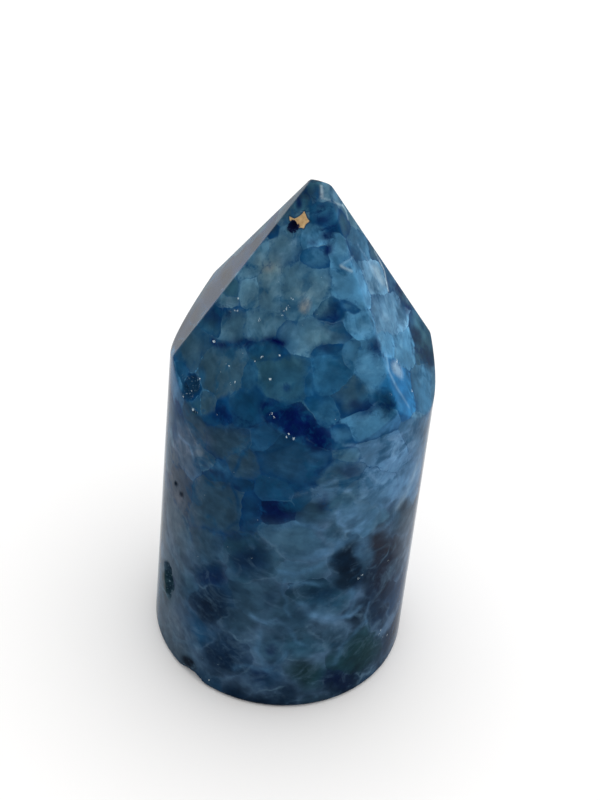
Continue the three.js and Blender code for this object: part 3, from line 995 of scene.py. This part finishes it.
BODY_SHADE_AND_TINT = np.array([0.66, 0.70, 0.78])  # painted shade: the body, lit less than the point, is painted darker; it is also bluer
FOOT_SHADE, FOOT_SHADE_HEIGHT = 0.4, 9  # painted shade: darkest at the foot, where little light reaches
DARKEST = 0.0005
VEIL_TOP, VEIL_FADE = 44, 9  # the height that the cloudy quartz reaches, and how it ends
VEIL_SLANT, VEIL_TOWARDS = 10, 70  # it stands higher on one side
WARPS = ((3.2, 0.40), (1.4, 0.30), (0.7, 0.18))  # wavelengths and reaches of ragged edges
MERGE_REACH = 0.8  # how far cells run into each other
MERGE, MERGE_VEILED = 0.34, 0.4  # how much, and how much more under the veil
TILT_SHADE = 0.24  # a cell is lighter towards one side
DYE_SHARE = 0.45  # how far dye reaches into a cell at most, in the cell's sizes
DYE_MOST, MILK_MOST = 0.92, 0.7
RIM_REACH, RIM_LIFT = 0.45, 0.3


def fade(gaps, reach):
    return np.exp(-np.maximum(gaps, 0) / reach)


def cell_colours(points, layer, closest, cells, veil):
    """The colour inside the nearest cell: its tone, tilted and mottled, with dye or milk along
    the edges where it dips under its neighbours and a clear rim where it lies over them."""
    middles, sizes, tones, tilts, levels = cells
    nearest, gaps = layer
    nearby = fade(np.where(np.isinf(gaps), 99, gaps), MERGE_REACH)
    blended = tones[nearest] + np.einsum("ij,ijk->ik", nearby, tones[closest])
    blended /= (1 + nearby.sum(axis=1))[:, None]
    colour = tones[nearest] + (blended - tones[nearest]) * (MERGE + MERGE_VEILED * veil)[:, None]
    across = np.einsum("ij,ij->i", points - middles[nearest], tilts[nearest]) / sizes[nearest]
    shade = 1 + TILT_SHADE * np.clip(across, -1.1, 1.1)
    shade *= 1 + 0.24 * noise(points, 2.6, seed=5) + 0.14 * noise(points, 1.1, seed=6)
    colour = colour * np.maximum(shade, 0.15)[:, None]

    ragged = gaps + (0.35 * noise(points, 0.8, seed=7) + 0.4 * noise(points, 2.2, seed=17))[:, None]
    step = levels[closest] - levels[nearest][:, None]
    own = np.broadcast_to(nearest[:, None], closest.shape)
    under = smooth(step, -0.05, 0.07)
    pooled = smooth(pair_value(own, closest, seed=42), 0.42, 0.95)
    reach = 0.25 + 1.5 * pair_value(own, closest, seed=41) ** 2
    reach = np.minimum(reach, DYE_SHARE * sizes[nearest][:, None])
    dye = (under * fade(ragged, reach) * (0.06 + 0.9 * pooled)).sum(axis=1)
    dye = np.clip(dye * (1 - 0.4 * veil), 0, DYE_MOST)[:, None]
    stain = np.array(DYE) + (np.array(DEEP_DYE) - np.array(DYE)) * veil[:, None]
    colour += (stain - colour) * dye
    over = 1 - under
    rim = (over * fade(ragged, RIM_REACH) * (0.3 + 0.7 * pair_value(own, closest, seed=43))).sum(axis=1)
    colour *= 1 + (RIM_LIFT * np.clip(rim, 0, 1) * (1 - veil))[:, None]
    milk = (fade(ragged, 0.4 + 1.2 * pair_value(own, closest, seed=44))
            * smooth(pair_value(own, closest, seed=45), 0.3, 0.95)).sum(axis=1)
    milk = np.clip(milk * veil * (0.42 + 0.5 * noise(points, 3.2, seed=9)), 0, MILK_MOST)[:, None]
    colour += (np.array(MILK) - colour) * milk
    return colour


def edge_character(closest, gaps):
    """How dark the line along the nearest edge is, and how soft the step across it."""
    own = np.broadcast_to(closest[:, :1], closest.shape)
    near = fade(gaps, 0.35)
    total = near.sum(axis=1) + 1e-6
    line = (near * pair_value(own, closest, seed=46)).sum(axis=1) / total
    soft = (near * pair_value(own, closest, seed=47)).sum(axis=1) / total
    return line, soft


def warp(points):
    """The points pushed about, for ragged cells, and how veiled with quartz the stone is."""
    around = np.arctan2(points[:, 0], -points[:, 1])
    top = VEIL_TOP - VEIL_SLANT * np.cos(around + math.radians(VEIL_TOWARDS))
    top += 4 * noise(points, 9, seed=10)
    veil = smooth(top - points[:, 2], 0, VEIL_FADE)
    warped = points.copy()
    for wavelength, reach in WARPS:
        warped += wander(points, wavelength, seed=20) * (reach * (1 + veil))[:, None]
    return warped, np.clip(veil + 0.3 * noise(points, 6, seed=14) * (veil > 0), 0, 1)


def paint(points, normals, mesh):
    """Works out the cells and writes them to the mesh as colour and distance layers."""
    random = np.random.default_rng(SEED)
    seen = photo_frames(SEEN_CELLS)
    hidden = hidden_cells(points, normals, *seen, random)
    middles, matrices, sizes = (np.concatenate(pair) for pair in zip(seen, hidden))
    tones = np.array([TONES[c.tone] for c in SEEN_CELLS])
    tones = np.concatenate([tones, hidden_tones(hidden[0], random)])
    tones = tones * random.uniform(0.92, 1.09, (len(tones), 1))
    tilts = unit(random.normal(size=(len(middles), 3)) + np.array([0.2, 0.0, -0.5]))
    levels = np.cbrt(tones @ np.array([0.3, 0.5, 0.2])) + random.uniform(-0.05, 0.05, len(tones))
    cells = (middles, sizes, tones, tilts, levels)

    warped, veil = warp(points)
    body = smooth(normals[:, 2], 0.35, 0.1)
    stains = list(stain_weights(points, STAINS))
    streaks = list(streak_weights(points, STREAKS))
    closest, layers = cell_layers(warped, middles, matrices, sizes)
    line = np.zeros(len(points))
    soft = np.zeros(len(points))
    for k, (nearest, gaps) in enumerate(layers):
        colour = cell_colours(points, (nearest, gaps), closest, cells, veil)
        for mark, weight in stains:
            colour += (np.array(TONES[mark.tone]) - colour) * weight[:, None]
        for streak, near, weight in streaks:
            colour[near] += (np.array(TONES[streak.tone]) - colour[near]) * weight[:, None]
        # painted shade: the side is darkened where it gets less light than the point, and given a bluer
        # tint
        colour *= 1 + (BODY_SHADE_AND_TINT - 1) * body[:, None]
        # painted shade: the side darker towards the foot
        colour *= 1 - FOOT_SHADE * (body * smooth(points[:, 2], FOOT_SHADE_HEIGHT, 0))[:, None]
        colour = np.maximum(colour, DARKEST)
        write_colour(mesh, f"cell_{k}", np.column_stack([colour, gaps.min(axis=1)]))
        here = nearest == closest[:, 0]
        line[here], soft[here] = edge_character(closest[here], gaps[here])
    write_number(mesh, "veil", veil)
    write_number(mesh, "line", line)
    write_number(mesh, "soft", soft)
    above = [speck.size * SPECK_RADIUS - np.linalg.norm(points - place, axis=1)
             for speck, place in zip(SPECKS, spots_on_stone(SPECKS))]
    write_number(mesh, "speck", np.clip(np.max(above, axis=0), -1, 1))
    write_number(mesh, "bare", chip_inside(points))
    return len(layers)


def spots_on_stone(spots):
    return stone_hits(pixel_rays([s.x for s in spots], [s.y for s in spots]))[0]


def chip_inside(points):
    """How far each point lies inside the bare chip's outline."""
    corners = spots_on_stone(BARE_CHIP)
    near = np.linalg.norm(points - corners.mean(axis=0), axis=1) < 3
    plane = np.column_stack(spread_in(FACET_NORMALS[1]))
    flat, ring = points[near] @ plane, corners @ plane
    crossings = np.zeros(len(flat), int)
    gap = np.full(len(flat), np.inf)
    for a, b in zip(ring, np.roll(ring, -1, axis=0)):
        side = b - a
        share = np.clip((flat - a) @ side / (side @ side), 0, 1)
        gap = np.minimum(gap, np.linalg.norm(flat - a - share[:, None] * side, axis=1))
        spans = (a[1] > flat[:, 1]) != (b[1] > flat[:, 1])
        where = a[0] + (flat[:, 1] - a[1]) * side[0] / np.where(side[1] == 0, 1e-9, side[1])
        crossings += spans & (flat[:, 0] < where)
    inside = np.full(len(points), -1.0)
    inside[near] = np.clip(np.where(crossings % 2 == 1, gap, -gap), -1, 1)
    return inside


def write_colour(mesh, name, values):
    layer = mesh.color_attributes.new(name, "FLOAT_COLOR", "POINT")
    layer.data.foreach_set("color", values.astype(np.float32).ravel())


def write_number(mesh, name, values):
    layer = mesh.attributes.new(name, "FLOAT", "POINT")
    layer.data.foreach_set("value", values.astype(np.float32))


# The mesh

def base_mesh():
    """The stone's points, ring by ring, and its triangles."""
    bearings, rows = rings()
    points = [np.zeros((1, 3))]
    firsts = []
    total = 1
    for _, ring in rows:
        firsts.append(total)
        points.append(ring)
        total += len(ring)
    points.append(APEX[None])
    faces = []
    first_ring, last_ring = len(rows[0][0]), len(rows[-1][0])
    for k in range(first_ring):
        faces.append((0, 1 + (k + 1) % first_ring, 1 + k))
    for k in range(len(rows) - 1):
        faces += stitch((rows[k][0], firsts[k]), (rows[k + 1][0], firsts[k + 1]), bearings)
    for k in range(last_ring):
        faces.append((firsts[-1] + k, firsts[-1] + (k + 1) % last_ring, total))
    return np.concatenate(points), faces


def refine(bm, centres, radii, cuts):
    """Splits the triangles near each centre into smaller ones."""
    middles = np.array([f.calc_center_median() for f in bm.faces])
    near = np.zeros(len(middles), bool)
    for centre, radius in zip(centres, radii):
        near |= np.linalg.norm(middles - centre, axis=1) < radius
    faces = [f for f, inside in zip(bm.faces, near) if inside]
    edges = list({e for f in faces for e in f.edges})
    bmesh.ops.subdivide_edges(bm, edges=edges, cuts=cuts, use_grid_fill=True)
    bmesh.ops.triangulate(bm, faces=bm.faces[:])


HOLE_PIT, CHIP_PIT = 0, 1  # the pit beside the bare chip and the chip itself
HOLLOW_DEPTH = 0.35  # a pit this deep is wholly rough
HOLE_DEPTH, HOLE_RIM = 0.3, 0.12


def stone():
    points, faces = base_mesh()
    bm = bmesh.new()
    vertices = [bm.verts.new(p) for p in points]
    for face in faces:
        bm.faces.new([vertices[i] for i in face])
    pits = pit_frames()
    clear = [0.62 * max(pit.width, pit.length) + 0.3 for pit, *_ in pits]
    refine(bm, [centre for _, centre, *_ in pits], clear, PIT_CUTS)
    specks = spots_on_stone(SPECKS)
    refine(bm, specks, [SPECK_CLEAR] * len(specks), SPECK_CUTS)
    seams = np.concatenate([streak_places(s) for s in STREAKS if s.wide <= FINE_STREAK])
    seams = seams[::SEAM_STEP]
    refine(bm, seams, [SEAM_CLEAR] * len(seams), SEAM_CUTS)
    points = np.array([v.co for v in bm.verts])
    points, normals = polish(points)
    points, pit_depths = sink_pits(points)
    depth = pit_depths.sum(axis=1)
    for vertex, point in zip(bm.verts, points * MM):
        vertex.co = point
    bm.normal_update()
    moved = depth > 0
    meshed = np.array([v.normal for v in bm.verts])
    normals[moved] = meshed[moved]

    mesh = bpy.data.meshes.new("agate")
    bm.to_mesh(mesh)
    bm.free()
    mesh.shade_smooth()
    layers = paint(points, normals, mesh)
    rugged = smooth(depth - pit_depths[:, CHIP_PIT], 0.0, HOLLOW_DEPTH)
    write_number(mesh, "hollow", np.maximum(rugged, strongest(points, CRUMBLY)))
    write_number(mesh, "feathers", strongest(points, FEATHERS))
    hole = HOLE_DEPTH * strongest(points, [HOLE]) - HOLE_RIM
    write_number(mesh, "pit", np.maximum(pit_depths[:, HOLE_PIT], hole))
    mesh.normals_split_custom_set_from_vertices(normals.astype(np.float32))
    piece = bpy.data.objects.new("agate", mesh)
    bpy.context.scene.collection.objects.link(piece)
    mesh.materials.append(agate_material(layers))
    print("triangles", len(mesh.polygons))
    return piece


# Materials

# Colours that the material lays over the cells, linear
FEATHER_DYE = (0.003, 0.045, 0.13)
PLUME_DYE = (0.001, 0.014, 0.065)
POOL_DYE = (0.004, 0.05, 0.12)
CREST = (0.08, 0.2, 0.3)
# painted light: warm patches where the clear point seems lit from within
PAINTED_GLOW = (2.0, 1.6, 1.45)
SHADOW = (0.004, 0.018, 0.042)
CLOUD = (0.075, 0.15, 0.235)
VEIN = (0.10, 0.19, 0.28)
WISP = (0.11, 0.2, 0.3)
DULLED, FRESHENED = (0.78, 0.8, 0.82), (1.22, 1.2, 1.18)
# painted highlight: faint glints
GLINT = (0.4, 0.52, 0.6)
HOLLOW = (0.003, 0.018, 0.045)
CRYSTAL = (0.16, 0.27, 0.34)
CHIP_RIM = (0.006, 0.03, 0.06)
DARK_TAN, PALE_TAN = (0.28, 0.16, 0.07), (0.72, 0.53, 0.28)
PIT_FLOOR = (0.003, 0.006, 0.03)
# painted highlight of the bright specks
SPARKLE = (0.58, 0.72, 0.8)
POLISHED, BROKEN = (0.07, 0.13), 0.55  # roughness of the polish and of the broken ground
AGATE_SHINE = 0.008
FLOOR_COLOUR, FLOOR_ROUGHNESS, FLOOR_SHINE = (0.92, 0.92, 0.93), 0.7, 0.15
MIX_A, MIX_B, MIX_RESULT = 6, 7, 2  # the sockets of a mix node that hold colours


class Graph:
    """Adds nodes to a material and joins them up. An input may be a number, colour or socket."""

    def __init__(self, tree):
        self.tree = tree
        tree.nodes.clear()

    def put(self, socket, value):
        if isinstance(value, bpy.types.NodeSocket):
            self.tree.links.new(value, socket)
        elif value is not None:
            socket.default_value = value

    def node(self, kind, inputs=(), **settings):
        made = self.tree.nodes.new(kind)
        for name, value in settings.items():
            setattr(made, name, value)
        for name, value in dict(inputs).items():
            self.put(made.inputs[name], value)
        return made

    def end(self, kind, shader):
        self.put(self.node(kind).inputs["Surface"], shader.outputs[0])

    def math(self, operation, a, b=None):
        made = self.node("ShaderNodeMath", operation=operation)
        self.put(made.inputs[0], a)
        self.put(made.inputs[1], b)
        return made.outputs[0]

    def times(self, first, *others):
        for other in others:
            first = self.math("MULTIPLY", first, other)
        return first

    def plus(self, a, b):
        return self.math("ADD", a, b)

    def remainder(self, share):
        """What the share leaves of one."""
        return self.math("SUBTRACT", 1.0, share)

    def mix(self, share, a, b, blend="MIX"):
        made = self.node("ShaderNodeMix", data_type="RGBA", blend_type=blend)
        self.put(made.inputs["Factor"], share)
        self.put(made.inputs[MIX_A], a)
        self.put(made.inputs[MIX_B], b)
        return made.outputs[MIX_RESULT]

    def cover(self, colour, share, paint):
        """Lays a plain colour over another, as strongly as the share says."""
        return self.mix(share, colour, (*paint, 1))

    def soft(self, value, low, high, start=0.0, end=1.0):
        """Runs from start at low to end at high, with a soft start and end."""
        made = self.node("ShaderNodeMapRange", interpolation_type="SMOOTHSTEP")
        for socket, number in zip(made.inputs[:5], (value, low, high, start, end)):
            self.put(socket, number)
        return made.outputs[0]

    def noise(self, place, wavelength, detail=2.0, rough=0.5, twist=0.0):
        """Noise from 0 to 1 whose features are about one wavelength across, in millimetres."""
        made = self.node("ShaderNodeTexNoise", {
            "Vector": place, "Scale": 1 / (wavelength * MM), "Detail": detail,
            "Roughness": rough, "Distortion": twist})
        return made.outputs["Fac"]

    def attribute(self, name):
        return self.node("ShaderNodeAttribute", attribute_name=name).outputs

    def number(self, name):
        return self.attribute(name)["Fac"]

    def bump(self, height, strength, reach, before=None):
        made = self.node("ShaderNodeBump", {"Height": height, "Strength": strength,
                                            "Distance": reach * MM, "Normal": before})
        return made.outputs[0]


def new_material(name):
    material = bpy.data.materials.new(name)
    material.use_nodes = True
    return material, Graph(material.node_tree)


# What the parts of the agate's colour share: place on the stone, how far inside its cell it
# lies, how veiled it is with quartz, how dark its crack is, and noises
Ground = namedtuple("Ground", "place edge veil line fine wide jitter ragged")


def layered_cells(g, veil, jitter, count):
    """The cells, each layer over the last, with a crisp or a soft step between them, and how
    far each place lies inside its cell."""
    softness = g.times(g.soft(g.number("soft"), 0.3, 1.0), g.soft(veil, 0.0, 1.0, 0.45, 0.8))
    softness = g.plus(softness, 0.04)
    sharp = g.times(softness, -1.0)
    cell = g.attribute("cell_0")
    colour, edge = cell["Color"], cell["Alpha"]
    for k in range(1, count):
        cell = g.attribute(f"cell_{k}")
        share = g.soft(g.plus(cell["Alpha"], jitter), sharp, softness)
        colour = g.mix(share, colour, cell["Color"])
        edge = g.math("MAXIMUM", edge, cell["Alpha"])
    return colour, edge


def dyed(g, colour, ground):
    """Dye in the point: dark lines along the cracks, feathers and pools; and patches of painted light
    where the clear point seems lit from within.
    """
    place, edge, wide = ground.place, ground.edge, ground.wide
    clear = g.remainder(ground.veil)
    line = g.remainder(g.soft(edge, 0.0, g.soft(ground.fine, 0.3, 0.7, 0.05, 0.17)))
    line = g.times(line, g.soft(wide, 0.4, 0.65, 0.1, 0.85), g.soft(ground.line, 0.35, 0.95), clear)
    colour = g.cover(colour, line, DYE)
    feather = g.soft(g.noise(place, 0.9, detail=5.0, rough=0.65, twist=0.4), 0.50, 0.66)
    feather = g.times(feather, g.soft(edge, 0.0, 1.2, 0.6, 0.06), clear)
    colour = g.cover(colour, feather, FEATHER_DYE)
    plume = g.soft(g.noise(place, 1.3, detail=6.0, rough=0.68, twist=0.6), 0.47, 0.6)
    colour = g.cover(colour, g.times(plume, g.number("feathers"), 0.8), PLUME_DYE)
    pool = g.soft(g.noise(place, 4.0, detail=4.0, rough=0.6, twist=0.6), 0.51, 0.67)
    colour = g.cover(colour, g.times(pool, clear, 0.65), POOL_DYE)
    crest = g.times(g.soft(edge, 0.03, 0.14, 1.0, 0.0), g.soft(ground.line, 0.25, 0.55, 1.0, 0.0),
                    g.soft(wide, 0.45, 0.65, 0.0, 1.0), clear, 0.17)
    colour = g.cover(colour, crest, CREST)
    # painted light: lightens warm patches of the clear point
    lit = g.times(g.soft(g.noise(place, 2.8, detail=4.0, rough=0.55, twist=0.5), 0.47, 0.72), clear, 0.7)
    return g.mix(lit, colour, g.mix(1.0, colour, (*PAINTED_GLOW, 1), "MULTIPLY"))


def veiled(g, colour, ground):
    """Cloudy quartz in the body: dark and pale clouds, veins along the cracks, and wisps."""
    place, veil, fine, wide = ground.place, ground.veil, ground.fine, ground.wide
    shadow = g.soft(g.noise(place, 6.0, detail=3.0, rough=0.55, twist=0.7), 0.48, 0.68)
    colour = g.cover(colour, g.times(shadow, veil, 0.45), SHADOW)
    cloud = g.soft(g.noise(place, 4.2, detail=4.0, rough=0.6, twist=1.1), 0.5, 0.75)
    colour = g.cover(colour, g.times(cloud, veil, 0.4), CLOUD)
    vein = g.remainder(g.soft(ground.edge, 0.0, g.soft(fine, 0.25, 0.75, 0.15, 0.8)))
    vein = g.times(vein, g.soft(wide, 0.42, 0.62, 0.0, 0.42), veil, g.soft(ground.line, 0.35, 0.95))
    colour = g.cover(colour, vein, VEIN)
    ridge = g.noise(place, 6.5, detail=3.0, rough=0.55, twist=1.2)
    ridge = g.math("ABSOLUTE", g.math("SUBTRACT", ridge, 0.5))
    wisp = g.times(g.soft(ridge, 0.0, 0.06, 1.0, 0.0), g.soft(fine, 0.35, 0.7),
                   g.soft(wide, 0.42, 0.6), veil, 0.14)
    return g.cover(colour, wisp, WISP)


def grained(g, colour, ground):
    """A cloudy grain, and faint painted glints all over."""
    grain = g.soft(g.noise(ground.place, 1.6, detail=4.0, rough=0.55, twist=0.2), 0.25, 0.75)
    colour = g.mix(1.0, colour, g.mix(grain, (*DULLED, 1), (*FRESHENED, 1)), "MULTIPLY")
    # painted glints: pale dots where the stone would catch the light
    glint = g.node("ShaderNodeTexVoronoi", {"Vector": ground.place, "Scale": 1 / (1.3 * MM)})
    glint = g.times(g.soft(glint.outputs["Distance"], 0.02, 0.07, 1.0, 0.0),
                    g.soft(glint.outputs["Color"], 0.77, 0.8), 0.45)
    return g.cover(colour, glint, GLINT)


def pitted(g, colour, ground, hollow):
    """Crystals in the hollows, the bare chip with its dark rim, the hole, and the painted sparkles of
    light.
    """
    place, jitter = ground.place, ground.jitter
    colour = g.cover(colour, g.times(hollow, 0.5), HOLLOW)
    crystal = g.soft(g.noise(place, 0.32, detail=2.0, rough=0.6), 0.58, 0.7)
    colour = g.cover(colour, g.times(crystal, hollow, 0.6), CRYSTAL)
    bare = g.plus(g.number("bare"), g.times(jitter, 0.3))
    colour = g.cover(colour, g.soft(bare, -0.3, -0.05, 0.0, 0.7), CHIP_RIM)
    tan = g.mix(g.noise(place, 0.5, detail=3.0), (*DARK_TAN, 1), (*PALE_TAN, 1))
    colour = g.mix(g.soft(bare, -0.02, 0.06), colour, tan)
    pit = g.times(g.number("pit"), g.soft(ground.ragged, 0.38, 0.56, 0.35, 1.8))
    colour = g.cover(colour, g.soft(pit, 0.0, 0.12), PIT_FLOOR)
    # painted highlights: the bright specks
    speck = g.plus(g.number("speck"), g.soft(ground.ragged, 0.35, 0.65, -0.2, 0.16))
    return g.cover(colour, g.soft(speck, -0.02, 0.09, 0.0, 0.8), SPARKLE)


def agate_material(layer_count):
    material, g = new_material("dyed crackle agate")
    place = g.node("ShaderNodeTexCoord").outputs["Object"]
    veil = g.number("veil")
    jitter = g.times(g.math("SUBTRACT", g.noise(place, 0.6, detail=3.0, rough=0.6), 0.5), 0.4)
    colour, edge = layered_cells(g, veil, jitter, layer_count)
    ground = Ground(place, edge, veil, line=g.number("line"), jitter=jitter,
                    fine=g.noise(place, 0.9, detail=4.0, rough=0.6),
                    wide=g.noise(place, 4.0, detail=3.0, rough=0.55),
                    ragged=g.noise(place, 0.3, detail=4.0, rough=0.7))
    colour = dyed(g, colour, ground)
    colour = veiled(g, colour, ground)
    colour = grained(g, colour, ground)
    hollow = g.number("hollow")
    colour = pitted(g, colour, ground, hollow)

    rough = g.soft(g.noise(place, 6.0, detail=3.0), 0.3, 0.7, *POLISHED)
    rough = g.cover(rough, hollow, (BROKEN, BROKEN, BROKEN))
    wave = g.bump(g.noise(place, 7.0, detail=1.0), 0.35, 0.06)
    grit = g.bump(g.noise(place, 0.35, detail=3.0), g.times(hollow, 0.8), 0.12, wave)
    shader = g.node("ShaderNodeBsdfPrincipled", {
        "Base Color": colour, "Roughness": rough, "Specular IOR Level": AGATE_SHINE, "Normal": grit})
    g.end("ShaderNodeOutputMaterial", shader)
    return material


def floor_material():
    material, g = new_material("pale floor")
    shader = g.node("ShaderNodeBsdfPrincipled", {
        "Base Color": (*FLOOR_COLOUR, 1), "Roughness": FLOOR_ROUGHNESS,
        "Specular IOR Level": FLOOR_SHINE})
    g.end("ShaderNodeOutputMaterial", shader)
    return material


# The stage

FLOOR_RADIUS, FLOOR_CORNERS = 6.0, 96  # metres
SKY_TOWARDS = (0.2, 0.3, 0.93)
SKY_BRIGHT, SKY_DARK = 1.5, 0.2
SKY_START, SKY_END = -0.05, 0.75  # how squarely a direction faces SKY_TOWARDS, dark to bright
SKY_COLOUR, BACKDROP = (1.0, 0.99, 0.97), (0.9, 0.9, 0.9)
CLIP = (0.01, 50)


def stage():
    mesh = bpy.data.meshes.new("floor")
    ring = [(FLOOR_RADIUS * math.cos(a), FLOOR_RADIUS * math.sin(a), 0)
            for a in np.linspace(0, 2 * math.pi, FLOOR_CORNERS, endpoint=False)]
    mesh.from_pydata(ring, [], [list(range(FLOOR_CORNERS))])
    mesh.materials.append(floor_material())
    floor = bpy.data.objects.new("floor", mesh)
    bpy.context.scene.collection.objects.link(floor)

    world = bpy.data.worlds.new("soft room")
    bpy.context.scene.world = world
    world.use_nodes = True
    g = Graph(world.node_tree)
    towards = g.node("ShaderNodeTexCoord").outputs["Generated"]
    along = g.node("ShaderNodeVectorMath", {0: towards, 1: SKY_TOWARDS}, operation="DOT_PRODUCT")
    glow = g.soft(along.outputs["Value"], SKY_START, SKY_END, SKY_DARK, SKY_BRIGHT)
    seen = g.node("ShaderNodeLightPath").outputs["Is Camera Ray"]
    light = g.node("ShaderNodeBackground", {"Color": (*SKY_COLOUR, 1), "Strength": glow})
    backdrop = g.node("ShaderNodeBackground", {"Color": (*BACKDROP, 1), "Strength": 1.0})
    both = g.node("ShaderNodeMixShader", {0: seen, 1: light.outputs[0], 2: backdrop.outputs[0]})
    g.end("ShaderNodeOutputWorld", both)


def camera():
    data = bpy.data.cameras.new("camera")
    data.sensor_width = SENSOR
    data.lens = SENSOR * FOCAL_PX / PHOTO_HEIGHT
    data.clip_start, data.clip_end = CLIP
    place, right, up, ahead = camera_frame()
    made = bpy.data.objects.new("camera", data)
    bpy.context.scene.collection.objects.link(made)
    turn = np.eye(4)
    turn[:3, 0], turn[:3, 1], turn[:3, 2], turn[:3, 3] = right, up, -ahead, place * MM
    made.matrix_world = Matrix(turn.tolist())
    bpy.context.scene.camera = made


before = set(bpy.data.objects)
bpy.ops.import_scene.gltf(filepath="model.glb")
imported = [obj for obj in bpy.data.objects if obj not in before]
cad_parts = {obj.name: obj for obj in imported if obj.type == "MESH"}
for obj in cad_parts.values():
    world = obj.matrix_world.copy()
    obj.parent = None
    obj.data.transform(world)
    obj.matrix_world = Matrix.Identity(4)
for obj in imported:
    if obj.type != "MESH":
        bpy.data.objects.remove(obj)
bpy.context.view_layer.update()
bpy.context.scene.view_settings.view_transform = "Standard"
camera()
stage()
piece = stone()
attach(piece, "root")
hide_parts("agate_point")
